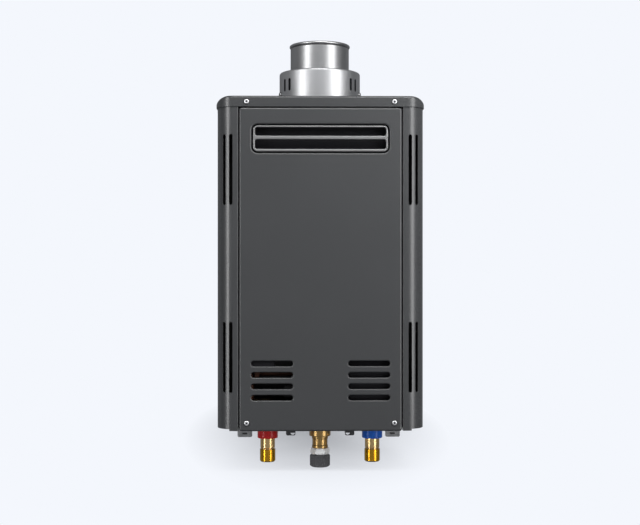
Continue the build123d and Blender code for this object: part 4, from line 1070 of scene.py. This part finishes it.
@dataclass
class FrontCover:
    """The lift-off cover with its louver and lower slots."""

    sheet: float = 1.2 * MM
    bend: float = 3.6 * MM
    grow: tuple[float, float, float] = (0.8 * MM, 1.7 * MM, 0.8 * MM)
    corner: float = 4.0 * MM
    louver_corner: float = 7.5 * MM
    groove: float = 2.5 * MM
    lip: float = 2.8 * MM
    lip_sheet: float = 0.96 * MM
    windows: tuple[Range, Range] = ((4.5 * MM, 18.9 * MM), (-17.5 * MM, -1.1 * MM))
    window_half: float = 109.4 * MM
    window_corner: float = 4.2 * MM
    insert_edge: float = 1.1 * MM
    slot_half: Pair = (34.75 * MM, 4.5 * MM)
    slot_lip: float = 2.0 * MM
    slot_wall: float = 0.5 * MM
    slot_x: float = 80.85 * MM
    slot_rise: float = 55.1 * MM
    slot_pitch: float = 18.95 * MM
    slot_rows: int = 4
    screw_x: float = 123.0 * MM
    screw_rise: float = 13.2 * MM

    def __post_init__(self) -> None:
        """Read the louver insert's middle and half of its size from the frame."""
        low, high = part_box("front_louver")
        self.louver_z = (low[2] + high[2]) / 2
        self.louver_half = ((high[0] - low[0]) / 2, (high[2] - low[2]) / 2)

    def build(self) -> None:
        """Model and dress the cover and what it carries."""
        low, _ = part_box("front_cover")
        dress(self.pan(), "case_paint", ["front_cover"], Body.COVER)
        half, radius = self.mouth()
        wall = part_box("front_louver")[1][1] - low[1] - self.lip
        mouth_lip = self.pressed_lip("louver_lip", (0.0, self.louver_z), half, radius, self.lip, wall)
        dress(mouth_lip, "case_paint", body=Body.COVER, smooth=60)
        dress(self.slot_lips(), "case_paint", body=Body.COVER, smooth=60)
        dress(self.insert(), "louver_satin", ["front_louver"], Body.COVER, smooth=50)
        z = low[2] + self.screw_rise
        places = [((side * self.screw_x, low[1], z), (0, -1, 0)) for side in (-1, 1)]
        Screws().row("cover_screw", "cover_screws", places, Body.COVER)

    def mouth(self) -> tuple[Pair, float]:
        """Half the size and the corner radius of the louver lip's outer line."""
        reach = self.groove + self.lip
        return (self.louver_half[0] + reach, self.louver_half[1] + reach), self.louver_corner + reach

    def slot_mouth(self) -> tuple[Pair, float]:
        """Half the size and the corner radius of a lower slot's outer line."""
        half_x, half_z = (half + self.slot_lip for half in self.slot_half)
        return (half_x, half_z), half_z * SLOT_END

    def pan(self) -> Piece:
        """Model the folded pan with its holes.

        Returns:
            The pan.
        """
        low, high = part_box("front_cover")
        side, top, foot = self.grow
        pan_low = (low[0] - side, low[1], low[2] - foot)
        pan = block("front_cover_pan", pan_low, (high[0] + side, high[1], high[2] + top))
        round_edges(pan, lambda e: runs(e, 1), self.corner, 6)
        round_edges(pan, lambda e: middle(e).y < low[1] + NEAR, self.bend, 5)
        remove_faces(pan, lambda f: f.normal.y > 0.9)
        thicken(pan, self.sheet)
        deep = (low[1] - self.sheet, low[1] + 3 * self.sheet)
        holes = [((0.0, self.louver_z), *self.mouth())]
        holes += [(place, *self.slot_mouth()) for place in self.slot_places()]
        cut(pan, [front_block("hole_cutter", place, half, deep, radius) for place, half, radius in holes])
        return pan

    def slot_places(self) -> list[Pair]:
        """Find the lower slots.

        Returns:
            The middle of each slot, across and up.
        """
        low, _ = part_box("front_cover")
        rows = [low[2] + self.slot_rise + row * self.slot_pitch for row in range(self.slot_rows)]
        return [(x, z) for z in rows for x in (-self.slot_x, self.slot_x)]

    def slot_lips(self) -> Piece:
        """Model the pressed-in lips of the lower slots: one, then its copies.

        Returns:
            The lips as one piece.
        """
        half, radius = self.slot_mouth()
        (x_0, z_0), *places = self.slot_places()
        lips = [self.pressed_lip("slot_lips", (x_0, z_0), half, radius, self.slot_lip, self.slot_wall)]
        lips += [moved(copied(lips[0], "slot_lip"), (x - x_0, 0, z - z_0)) for x, z in places]
        return join(lips)

    def pressed_lip(
        self, name: str, centre: Pair, half: Pair, radius: float, lip: float, wall: float
    ) -> Piece:
        """Model a lip that rolls inwards round a hole, one ring after another, and its wall.

        Args:
            name: the lip's name.
            centre: the hole's middle, across and up.
            half: half of the lip's outer width and height.
            radius: the radius of its outer corners.
            lip: the radius that it is rolled to.
            wall: how far its wall runs on inwards.

        Returns:
            The lip.
        """
        low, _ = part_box("front_cover")
        deselect()
        bpy.ops.mesh.primitive_plane_add(
            size=1.0, location=(centre[0], low[1], centre[1]), rotation=(math.pi / 2, 0, 0)
        )
        ring = named(name)
        ring.scale = (2 * half[0], 2 * half[1], 1)
        apply_place(ring)
        quarter = arc(0, 0, lip, 0, 90, 7)
        with editing(ring):
            bpy.ops.mesh.select_all(action="SELECT")
            bpy.ops.mesh.bevel(offset=radius, segments=CORNER_STEPS, affect="VERTICES")
            choose(ring, Element.FACE, lambda f: True)
            for (back_a, inward_a), (back_b, inward_b) in zip(quarter, quarter[1:]):
                bpy.ops.mesh.inset(thickness=inward_b - inward_a, depth=back_b - back_a)
            bpy.ops.mesh.extrude_region_move(TRANSFORM_OT_translate={"value": (0, wall, 0)})
            bpy.ops.mesh.delete(type="FACE")
        thicken(ring, self.lip_sheet)
        return ring

    def insert(self) -> Piece:
        """Model the satin insert: a rounded frame with one bar across.

        Returns:
            The insert.
        """
        low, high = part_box("front_louver")
        centre, depth = (0.0, self.louver_z), (low[1], high[1])
        insert = front_block("louver_insert", centre, self.louver_half, depth, self.louver_corner)
        deep = (low[1] - self.bend, high[1] + self.bend)
        cutters = []
        for foot, head in self.windows:
            centre, half = (0.0, self.louver_z + (foot + head) / 2), (self.window_half, (head - foot) / 2)
            cutters.append(front_block("window_cutter", centre, half, deep, self.window_corner, 8))
        cut(insert, cutters)

        def front_rim(edge: Edge) -> bool:
            """Whether an edge is on the insert's front and turns a corner."""
            sharp = len(edge.link_faces) == 2 and edge.calc_face_angle(0) > SHARP
            return sharp and abs(middle(edge).y - low[1]) < NEAR

        round_edges(insert, front_rim, self.insert_edge, 4)
        return insert


@dataclass
class Flue:
    """The concentric flue: the slotted outer collar and the inner pipe. Its sizes are in mm."""

    wall: float = 1.2
    collar: float = 70.0
    collar_edge: float = 3.2
    bore: float = 52.8
    bore_edge: float = 1.0
    bore_depth: float = 4.0
    slot: Pair = (5.5, 21.5)
    slot_depth: float = 6.0
    slot_level: float = 13.2
    slot_turns: Pair = (48.4, 59.6)
    slot_shade: float = 0.25
    # the black sheet of painted shade behind the collar's slots: half its height, its gap and its wall
    shade_sheet_half: float = 12.9
    shade_sheet_gap: float = 1.5
    shade_sheet_wall: float = 0.3
    screw_turn: float = 75.0
    screw_level: float = -1.0
    pipe: float = 50.8
    pipe_wall: float = 1.8
    bead: float = 2.6
    seam_drop: float = 1.4
    seam: tuple[float, float, float] = (0.2, 1.0, 1.2)
    seam_depth: float = 0.9

    def __post_init__(self) -> None:
        """Read the heights of the collar and the pipe from the frame."""
        self.foot, self.top = heights("flue_collar")
        self.pipe_foot, self.pipe_top = heights("flue_pipe")

    def centre(self) -> Vector:
        """The flue's axis on the plane of the wall bolts."""
        return middle_of("flue_pipe").xy.to_3d()

    def build(self) -> None:
        """Model and dress the flue."""
        dress(self.collar_shell(), "flue_steel", ["flue_collar"], smooth=40)
        dress(self.inner_pipe(), "flue_steel", ["flue_pipe"], smooth=50, finish="pipe_steel")
        places = []
        for turn in (self.screw_turn, 180 - self.screw_turn):
            for side in (-1, 1):
                lean = math.radians(side * turn)
                out = Vector((math.sin(lean), -math.cos(lean), 0))
                foot = self.centre() + (out * self.collar + Vector((0, 0, self.screw_level))) * MM
                places.append((foot, out))
        Screws(finish="screw_dull").row("collar_screw", "collar_screws", places)

    def collar_shell(self) -> Piece:
        """Model the slotted collar.

        Returns:
            The collar, painted black inside and in its slots as shade, joined to a black sheet of painted
            shade behind its slots.
        """
        wall, shoulder, rim = self.wall, self.top - self.collar_edge, self.bore + self.bore_edge
        outline = [(self.collar, self.foot)]
        outline += arc(self.collar - self.collar_edge, shoulder, self.collar_edge, 0, 90, 7)
        outline += arc(rim, self.top - self.bore_edge, self.bore_edge, 90, 180, 3)
        outline += [(self.bore, self.top - self.bore_depth), (self.bore + wall, self.top - self.bore_depth)]
        outline += [(self.bore + wall, self.top - wall), (self.collar - self.collar_edge, self.top - wall)]
        outline += [(self.collar - wall, shoulder), (self.collar - wall, self.foot), outline[0]]
        shell = lathe("flue_collar_shell", scaled(outline), self.centre(), ROUND, closed=True)
        turns = [whole for turn in self.slot_turns for whole in (turn, -turn, 180 - turn, turn - 180)]
        width, tall, reach, level, depth = (
            size * MM for size in (*self.slot, self.collar, self.slot_level, self.slot_depth)
        )
        cut(shell, slot_cutters(self.centre(), reach, turns, [level], (width, tall), depth))

        def shaded_inside(face: Polygon) -> bool:
            """Whether a face is on the inner side of the wall or in a slot, where it is painted black as
            shade.
            """
            reach = (face.center.xy - self.centre().xy).length / MM
            return face.center.z / MM < shoulder and reach < self.collar - self.slot_shade

        # The inner side and the slot walls are painted black: painted shade.
        paint(shell, "flue_steel", "tray_black", shaded_inside)
        return join([shell, self.shade_sheet()])

    def shade_sheet(self) -> Piece:
        """Model a thin black sheet close behind the collar's slots, put there as painted shade.

        Returns:
            The sheet.
        """
        outside = self.collar - self.shade_sheet_gap
        inside = outside - self.shade_sheet_wall
        foot, head = self.slot_level - self.shade_sheet_half, self.slot_level + self.shade_sheet_half
        outline = [(outside, foot), (outside, head), (inside, head), (inside, foot), (outside, foot)]
        ring = lathe("flue_collar_screen", scaled(outline), self.centre(), ROUND, closed=True)
        # Black as painted shade, so that the slots read as shadowed.
        paint(ring, "tray_black")
        return ring

    def inner_pipe(self) -> Piece:
        """Model the pipe with its rolled rim.

        Returns:
            The pipe.
        """
        inside, hidden = self.pipe - self.pipe_wall, self.top - self.bore_depth
        waist = self.pipe - self.seam_depth
        rim = self.pipe_top - self.bead
        seam = rim - self.bead - self.seam_drop
        outline = [(self.pipe, self.pipe_foot), (self.pipe, hidden), (self.pipe, seam)]
        outline += [(waist, seam + rise) for rise in self.seam[:2]]
        outline += arc(waist, rim, self.bead, -70, 110, 12)
        outline += [(inside, rim - self.bead), (inside, self.pipe_foot), outline[0]]
        pipe = lathe("flue_inner_pipe", scaled(outline), self.centre(), ROUND, closed=True)

        def dark(face: Polygon) -> bool:
            """Whether a face is inside the collar or in the seam groove, where it is painted black as shade.
            """
            height = face.center.z / MM
            return height < hidden or seam < height < seam + self.seam[2]

        # Inside the collar and in the seam groove the pipe is painted black: painted shade.
        paint(pipe, "pipe_steel", "socket_dark", dark)
        return pipe


@dataclass
class Connections:
    """The brass fittings below the case, their rings and the two gas nuts. Its sizes are in mm."""

    thread: float = 13.335
    thread_length: float = 21.5
    thread_start: float = 1.4
    thread_bevel: float = 0.4
    runout: float = 0.6
    lead_in: tuple[Pair, Pair] = ((1.6, 0.0), (1.0, 0.8))
    pitch: float = 1.814
    depth: float = 0.45
    crest: Range = (0.22, 0.78)
    crest_wear: float = 0.05
    bore: float = 9.0
    neck: float = 12.5
    neck_bevel: float = 0.5
    waist: float = 11.4
    waist_rises: tuple[float, float, float] = (0.3, 1.4, 2.4)
    ring: float = 17.5
    ring_gap: float = 0.2
    ring_edge: float = 1.2
    ring_step: float = 0.5
    ring_foot: float = 4.4
    gas_body: float = 13.75
    gas_bevel: float = 0.6
    gas_collars: Pair = (4.2, 4.4)
    gas_waist: float = 0.7
    gas_slope: float = 0.8
    gas_flange_rise: float = 20.5
    gas_flange_edge: float = 1.0
    gas_flange_skirt: Pair = (6.0, 0.4)
    gas_bore: float = 10.5
    turning: float = 2.3
    turned_in: float = 0.7
    nut_edge: float = 1.1

    def build(self) -> None:
        """Model and dress the fittings: the hot side, its copies for the cold side, and the gas inlet."""
        low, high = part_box("water_fittings")
        y = (low[1] + high[1]) / 2
        left, right = low[0] + self.thread * MM, high[0] - self.thread * MM
        across = (right - left, 0, 0)
        hot_nipple = self.nipple((left, y, 0))
        cold_nipple = moved(copied(hot_nipple, "cold_inlet_nipple"), across)
        dress(hot_nipple, "fitting_brass", ["water_fittings"], smooth=28)
        dress(cold_nipple, "fitting_brass", ["water_fittings"], smooth=28)
        hot_ring = self.marker((left, y, 0))
        cold_ring = moved(copied(hot_ring, "cold_marker_ring_moulding"), across)
        dress(hot_ring, "ring_red", ["hot_marker_ring"], smooth=40)
        dress(cold_ring, "ring_blue", ["cold_marker_ring"], smooth=40)
        gas = (0, y, 0)
        dress(self.gas_inlet(gas), "fitting_brass", ["gas_inlet_fitting"], smooth=30, finish="gas_brass")
        union = self.hexagon("gas_bright_nut", "gas_union_nut", gas)
        dress(union, "nut_steel", ["gas_union_nut"], soften=self.nut_edge * MM, smooth=32)
        end = self.hexagon("gas_black_nut", "gas_end_nut", gas)
        foot, head = heights("gas_end_nut")
        bore = [(self.gas_bore, foot - 1.0), (self.gas_bore, head - 1.0)]
        cut(end, [lathe("bore_cutter", scaled(bore), gas, SMALL_ROUND)])
        dress(end, "nut_black", ["gas_end_nut"], soften=self.nut_edge * MM, smooth=32)

    def nipple(self, centre: Point) -> Piece:
        """Model the hot water's threaded nipple.

        Args:
            centre: the foot of its axis.

        Returns:
            The nipple.
        """
        foot, head = heights("water_fittings")
        bore, thread, neck = self.bore, self.thread, self.neck
        root, top = thread - self.depth, thread - self.crest_wear
        end = foot + self.thread_length
        outline = [(bore, foot), *((thread - less, foot + up) for less, up in self.lead_in)]
        rise = foot + self.thread_start
        while rise + self.pitch < end - self.runout:
            outline += [(root, rise), *((top, rise + share * self.pitch) for share in self.crest)]
            rise += self.pitch
        outline += [(root, rise), (thread, rise + 0.5)]
        outline += [(thread, end - self.thread_bevel), (thread - self.thread_bevel, end)]
        radii = (self.waist, self.waist, neck)
        outline += [(radius, end + up) for radius, up in zip(radii, self.waist_rises)]
        outline += [(neck, head - self.neck_bevel), (neck - self.neck_bevel, head)]
        outline += [(bore, head), (bore, foot)]
        nipple = lathe("hot_outlet_nipple", scaled(outline), centre, FITTING_ROUND, closed=True)
        paint(nipple, "fitting_brass", "thread_brass", lambda face: face.center.z < (end + 0.2) * MM)
        return nipple

    def marker(self, centre: Point) -> Piece:
        """Model the hot water's coloured ring.

        Args:
            centre: the foot of its axis.

        Returns:
            The ring.
        """
        foot, head = heights("hot_marker_ring")
        inside, outside, edge = self.neck + self.ring_gap, self.ring, self.ring_edge
        outline = [(inside, foot), (outside - edge, foot)]
        outline += arc(outside - edge, foot + edge, edge, -60, 0, 3)
        narrow = outside - self.ring_step
        outline += [(outside, head - self.ring_foot), (narrow, head - self.ring_foot + 0.4)]
        outline += [(narrow, head), (inside, head), (inside, foot)]
        return lathe("hot_marker_ring_moulding", scaled(outline), centre, FITTING_ROUND, closed=True)

    def hexagon(self, name: str, node: str, centre: Point) -> Piece:
        """Model a hexagon with turned corners.

        Args:
            name: the nut's name.
            node: the frame's node that gives its size.
            centre: the foot of its axis.

        Returns:
            The nut.
        """
        low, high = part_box(node)
        foot, head = heights(node)
        flat = (high[1] - low[1]) / 2 / MM
        peak = flat / math.cos(math.radians(30))
        deselect()
        bpy.ops.mesh.primitive_cylinder_add(
            vertices=6, radius=peak * MM, depth=(head - foot) * MM,
            location=(centre[0], centre[1], (head + foot) / 2 * MM), rotation=(0, 0, math.radians(30)),
        )
        nut = named(name)
        apply_place(nut)
        inside, outside = flat - self.turned_in, peak + 0.3
        outline = [(inside, foot), (outside, foot + self.turning)]
        outline += [(outside, head - self.turning), (inside, head)]
        cut(nut, [lathe("turning", scaled(outline), centre, ROUND)], "INTERSECT")
        return nut

    def gas_inlet(self, centre: Point) -> Piece:
        """Model the gas inlet with its waist and its flange under the floor.

        Args:
            centre: the foot of its axis.

        Returns:
            The inlet.
        """
        foot, head = heights("gas_inlet_fitting")
        floor, _ = heights("floor_pan")
        body, waist, edge = self.gas_body, self.gas_body - self.gas_waist, self.gas_flange_edge
        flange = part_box("gas_inlet_fitting")[1][0] / MM
        under = foot + self.gas_flange_rise
        low_collar, high_collar = foot + self.gas_collars[0], under - self.gas_collars[1]
        bevel, slope = self.gas_bevel, self.gas_slope
        outline = [(body - bevel, foot), (body, foot + bevel), (body, low_collar)]
        outline += [(waist, low_collar + slope), (waist, high_collar - slope), (body, high_collar)]
        outline += [(body + 0.2, under - bevel), (body + bevel, under)]
        outline += [(flange - edge, under), *arc(flange - edge, under + edge, edge, -60, 0, 3)]
        skirt, step = self.gas_flange_skirt
        outline += [(flange, floor - skirt), (flange - step, floor - skirt + step), (flange - step, floor)]
        outline += [(body, floor), (body, head)]
        return lathe("gas_inlet_body", scaled(outline), centre, FITTING_ROUND)


@dataclass
class Brackets:
    """The folded wall brackets and the two lugs under the floor."""

    sheet: float = 1.6 * MM
    soft_edge: float = 0.2 * MM
    gap: float = 10.0 * MM
    leg: float = 27.0 * MM
    leg_corner: float = 3.0 * MM
    slot_half: Pair = (4.8 * MM, 1.6 * MM)
    slot_rise: float = 6.6 * MM
    # the thin black plate of painted shade in each leg's slot: its inset and its thickness
    shade_web: Pair = (0.96 * MM, 0.32 * MM)
    slot_x: float = 135.5 * MM
    bolt: float = 4.0 * MM
    bolt_x: float = 90.0 * MM
    hanger_corner: float = 6.0 * MM
    lug_sheet: float = 2.0 * MM
    lug_width: float = 16.0 * MM
    lug_corner: float = 2.6 * MM
    lug_hole: float = 3.8 * MM
    lug_shift: float = 3.4 * MM
    lug_return: float = 2.4 * MM
    lug_edge: float = 0.3 * MM

    def build(self) -> None:
        """Model and dress the brackets and the lugs."""
        dress(self.lower(), "bracket_zinc", ["wall_bracket_lower"], soften=self.soft_edge)
        dress(self.upper(), "bracket_zinc", ["wall_bracket_upper"], soften=self.soft_edge)
        lug = self.lug()
        dress(mirrored(lug, "floor_lug_left"), "case_paint", ["floor_lugs"])
        dress(lug, "case_paint", ["floor_lugs"])

    def strip(self, name: str, ends: Range, path: Sequence[Pair]) -> Piece:
        """Fold a strip along a path of depth and height.

        Args:
            name: the strip's name.
            ends: the place of its left and its right end.
            path: depth and height of each fold, from the top down, on the wall's side.

        Returns:
            The strip, as thick as the sheet.
        """
        (y_a, z_a), (_, z_b) = path[0], path[1]
        deselect()
        centre = ((ends[0] + ends[1]) / 2, y_a, (z_a + z_b) / 2)
        bpy.ops.mesh.primitive_plane_add(size=1.0, location=centre, rotation=(-math.pi / 2, 0, 0))
        piece = named(name)
        piece.scale = (ends[1] - ends[0], abs(z_a - z_b), 1)
        apply_place(piece)
        with editing(piece):
            choose(piece, Element.EDGE, edges_at(0, 2, z_b))
            for (y_c, z_c), (y_d, z_d) in zip(path[1:], path[2:]):
                step = (0, y_d - y_c, z_d - z_c)
                bpy.ops.mesh.extrude_edges_move(TRANSFORM_OT_translate={"value": step})
            face_outwards()
        if any(face.normal.y < 0 for face in piece.data.polygons):
            with editing(piece):
                bpy.ops.mesh.select_all(action="SELECT")
                bpy.ops.mesh.flip_normals()
        thicken(piece, self.sheet)
        return piece

    def lower(self) -> Piece:
        """Model the lower bracket with its two legs.

        Returns:
            The bracket.
        """
        low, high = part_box("wall_bracket_lower")
        case_back = high[1] - self.gap
        bar_end, bar_foot = low[0] + self.leg, high[2] - self.leg
        bar = block(
            "wall_bracket_low", (bar_end, case_back, bar_foot), (-bar_end, case_back + self.sheet, high[2])
        )
        paint(bar, "bracket_zinc")
        knee = bar_foot - self.gap - self.sheet
        path = [(case_back + self.sheet, high[2]), (case_back + self.sheet, bar_foot)]
        path += [(high[1], knee), (high[1], low[2])]
        leg = self.strip("leg", (high[0] - self.leg, high[0]), path)
        round_edges(leg, edges_at(1, 2, low[2]), self.leg_corner, 4)
        spot = (self.slot_x, low[2] + self.slot_rise)
        radius = self.slot_half[1] * SLOT_END
        deep = (-2 * self.sheet, self.sheet)
        cut(leg, [front_block("slot_cutter", spot, self.slot_half, deep, radius, SLOT_STEPS)])
        # A thin black plate inside each leg's slot, as painted shade, so that the slot reads shadowed.
        inset, thickness = self.shade_web
        thin = (high[1] - inset, high[1] - inset + thickness)
        shade_web = front_block("slot_web", spot, self.slot_half, thin, radius, SLOT_STEPS)
        paint(shade_web, "socket_dark")
        paint(leg, "bracket_zinc")
        leg = join([leg, shade_web])
        return join([leg, mirrored(leg, "leg_left"), bar])

    def upper(self) -> Piece:
        """Model the hanger behind the top of the case.

        Returns:
            The hanger.
        """
        low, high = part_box("wall_bracket_upper")
        case_back = high[1] - self.gap
        knee = -high[2] - self.sheet
        path = [(high[1], high[2]), (high[1], knee)]
        path += [(case_back + self.sheet, knee - self.gap - self.sheet), (case_back + self.sheet, low[2])]
        hanger = self.strip("wall_bracket_high", (low[0], high[0]), path)
        round_edges(hanger, edges_at(1, 2, high[2]), self.hanger_corner, 6)
        rods = []
        for x in (-self.bolt_x, self.bolt_x):
            rod = lathe("bolt_cutter", [(self.bolt, -4 * MM), (self.bolt, 4 * MM)], steps=SCREW_ROUND)
            rods.append(facing(rod, (x, 0, 0), (0, -1, 0)))
        cut(hanger, rods)
        return hanger

    def lug(self) -> Piece:
        """Model the right-hand lug.

        Returns:
            The lug.
        """
        low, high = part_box("floor_lugs")
        left, sheet = high[0] - self.lug_width, self.lug_sheet
        lug = block("floor_lug_right", (left, low[1], low[2]), (high[0], low[1] + sheet, high[2]))
        round_edges(lug, edges_at(1, 2, low[2]), self.lug_corner, 5)
        foot = block("lug_foot", (left, low[1] + sheet, high[2] - sheet), high)
        leaf_low = (left, high[1] - sheet, low[2] + self.lug_return)
        leaf = block("lug_leaf", leaf_low, (high[0], high[1], high[2] - sheet))
        hole_x = (left + high[0]) / 2 - self.lug_shift
        hole_z = low[2] + self.lug_hole + sheet / 2
        rod = lathe("lug_cutter", [(self.lug_hole, -9 * MM), (self.lug_hole, 9 * MM)], steps=SCREW_ROUND)
        cut(lug, [facing(rod, (hole_x, low[1], hole_z), (0, -1, 0))])
        ease(lug, self.lug_edge, 50)
        return join([lug, foot, leaf])


class Insides:
    """The frame's own nodes that stay, each with its finish."""

    # Nodes seen through the louver and the slots, painted near-black as shade instead of their own finish.
    PAINTED_SHADE_NODES = ("louver_baffle", "control_lid", "spark_transformer")

    def build(self) -> None:
        """Give every node that stays the finish of its slot; the nodes seen through the louver and the slots
        get near-black instead, as painted shade.
        """
        slots = {row["node"]: row["material_slot"] for row in frame["record"]["subparts"]}
        for node, piece in frame["nodes"].items():
            finish = "tray_black" if node in self.PAINTED_SHADE_NODES else slots[node]
            piece.data.materials.clear()
            paint(piece, finish)
            LOG.info("%s keeps its own form in %s", node, finish)


# The studio


@dataclass
class Studio:
    """The camera, the lamps, the world and the pale floor."""

    focal: float = 64.6
    distance: float = 2.109
    level: float = -0.2905
    aside: float = -0.033
    aim: Pair = (-0.0011, -0.202)
    middle_y: float = -0.1
    backdrop: Colour = (0.905, 0.930, 0.982)
    ambient: float = 0.20
    glows: tuple[Pair, ...] = ((0.0, 0.36), (0.64, 0.14), (0.78, 0.36), (0.97, 0.18))
    glow_lean: float = 9.0
    low_band: Range = (-0.75, -0.30)
    low_share: float = 0.3
    floor_colour: Colour = (0.40, 0.412, 0.435)
    floor_gap: float = 0.004
    shade_back: float = 0.50
    shade_squeeze: float = 2.8
    shade_fade: Range = (-0.10, 0.78)

    def build(self) -> None:
        """Set up what isn't part of the heater."""
        bpy.context.scene.view_settings.view_transform = "Standard"
        self.camera()
        self.lamps()
        self.world()
        self.floor()

    def camera(self) -> None:
        """Add the camera at the photograph's viewing angle."""
        turn = math.atan2(self.aim[0] - self.aside, self.distance + self.aim[1])
        deselect()
        bpy.ops.object.camera_add(
            location=(self.aside, -self.distance, self.level), rotation=(math.pi / 2, 0, -turn)
        )
        camera = bpy.context.active_object
        camera.name = "camera"
        camera.data.lens = self.focal
        camera.data.sensor_width = 36.0
        camera.data.clip_end = 60.0
        bpy.context.scene.camera = camera

    def softbox(
        self, name: str, turn: float, lift: float, reach: float, size: Pair, power: float, glossy: bool = True
    ) -> None:
        """Add one soft lamp that looks at the middle of the heater.

        Args:
            name: the lamp's name.
            turn: its angle from the front, to the right, in degrees.
            lift: its height above the heater's middle.
            reach: its distance on the plan.
            size: its width and height.
            power: its power in watts.
            glossy: shows in reflections.
        """
        target = Vector((0, self.middle_y, self.level))
        lean = math.radians(turn)
        spot = target + Vector((math.sin(lean) * reach, -math.cos(lean) * reach, lift))
        deselect()
        bpy.ops.object.light_add(type="AREA", location=spot)
        lamp = bpy.context.active_object
        lamp.name = name
        lamp.rotation_euler = (spot - target).to_track_quat("Z", "Y").to_euler()
        lamp.data.shape = "RECTANGLE"
        lamp.data.size, lamp.data.size_y = size
        lamp.data.energy = power
        lamp.visible_glossy = glossy

    def lamps(self) -> None:
        """Add two tall softboxes, a top light, a small one near the upper right and a back light."""
        self.softbox("softbox_left", turn=-50, lift=0.32, reach=1.7, size=(0.30, 1.9), power=18.5)
        self.softbox("softbox_right", turn=46, lift=0.35, reach=1.7, size=(0.55, 1.9), power=23.5)
        self.softbox("softbox_top", turn=5, lift=2.0, reach=1.7, size=(2.2, 0.50), power=61.0)
        self.softbox(
            "softbox_near", turn=32, lift=0.5, reach=0.75, size=(0.35, 0.35), power=7.0, glossy=False
        )
        self.softbox("softbox_back", turn=180, lift=1.2, reach=1.8, size=(1.6, 1.6), power=10.0, glossy=False)

    def world(self) -> None:
        """Make the pale surroundings, with a softer glow for light and reflections."""
        world = bpy.data.worlds.new("studio")
        bpy.context.scene.world = world
        graph = Graph(world)
        pale = (*self.backdrop, 1)
        seen = graph.start("Background", {"Color": pale})
        light = graph.add("ShaderNodeBackground", {"Color": pale, "Strength": self.ambient})
        place = graph.add("ShaderNodeTexCoord", {}).outputs["Generated"]
        lean = math.radians(self.glow_lean)
        front = (-math.sin(lean), math.cos(lean), 0)
        along = graph.add("ShaderNodeVectorMath", {0: place, 1: front}, operation="DOT_PRODUCT")
        depth = graph.span(along.outputs["Value"], (-1.0, 1.0))
        round_glow = graph.ramp(depth, [(share, (level,) * 3) for share, level in self.glows])
        height = graph.add("ShaderNodeSeparateXYZ", {"Vector": place}).outputs["Z"]
        below = graph.span(height, self.low_band, (self.low_share, 1.0))
        both = graph.add("ShaderNodeMath", {0: round_glow, 1: below}, operation="MULTIPLY").outputs["Value"]
        glow = graph.add("ShaderNodeBackground", {"Color": pale, "Strength": both})
        ray = graph.add("ShaderNodeLightPath", {}).outputs
        kinds = {0: ray["Is Glossy Ray"], 1: ray["Is Transmission Ray"]}
        shine = graph.add("ShaderNodeMath", kinds, operation="MAXIMUM").outputs["Value"]
        unseen = graph.blend(shine, light.outputs[0], glow.outputs[0])
        shown = graph.blend(ray["Is Camera Ray"], unseen, seen.outputs[0])
        graph.start("World Output", {"Surface": shown})

    def floor(self) -> None:
        """Lay the pale floor, which fades into the surroundings away from the heater."""
        low, _ = CAD_BOX
        deselect()
        bpy.ops.mesh.primitive_plane_add(size=24.0, location=(0, self.middle_y, low[2] - self.floor_gap))
        floor = named("floor")
        material = bpy.data.materials.new("pale_floor")
        graph = Graph(material)
        base = {"Base Color": (*self.floor_colour, 1), "Roughness": 0.9, "Specular IOR Level": 0.0}
        lit = graph.start("Principled BSDF", base)
        even = graph.add("ShaderNodeEmission", {"Color": (*self.backdrop, 1)})
        place = graph.add("ShaderNodeTexCoord", {}).outputs["Object"]
        behind = graph.add("ShaderNodeMapping", {
            "Vector": place, "Location": (0, -self.shade_back, 0), "Scale": (self.shade_squeeze, 1, 1)
        })
        far = graph.add("ShaderNodeVectorMath", {0: behind.outputs["Vector"]}, operation="LENGTH")
        fade = graph.span(far.outputs["Value"], self.shade_fade)
        shaded = graph.blend(fade, lit.outputs[0], even.outputs[0])
        unseen = graph.add("ShaderNodeBsdfTransparent", {}).outputs[0]
        ray = graph.add("ShaderNodeLightPath", {}).outputs
        graph.start("Material Output", {"Surface": graph.blend(ray["Is Glossy Ray"], shaded, unseen)})
        floor.data.materials.append(material)


def main() -> None:
    """Build the heater's pieces in order and set up the studio."""
    logging.basicConfig(level=logging.INFO, format="%(name)s: %(message)s")
    deselect()
    Insides().build()
    for assembly in (Casing(), FrontCover(), Flue(), Connections(), Brackets()):
        LOG.info("building %s", type(assembly).__name__)
        assembly.build()
    Studio().build()


if __name__ == "__main__":
    main()
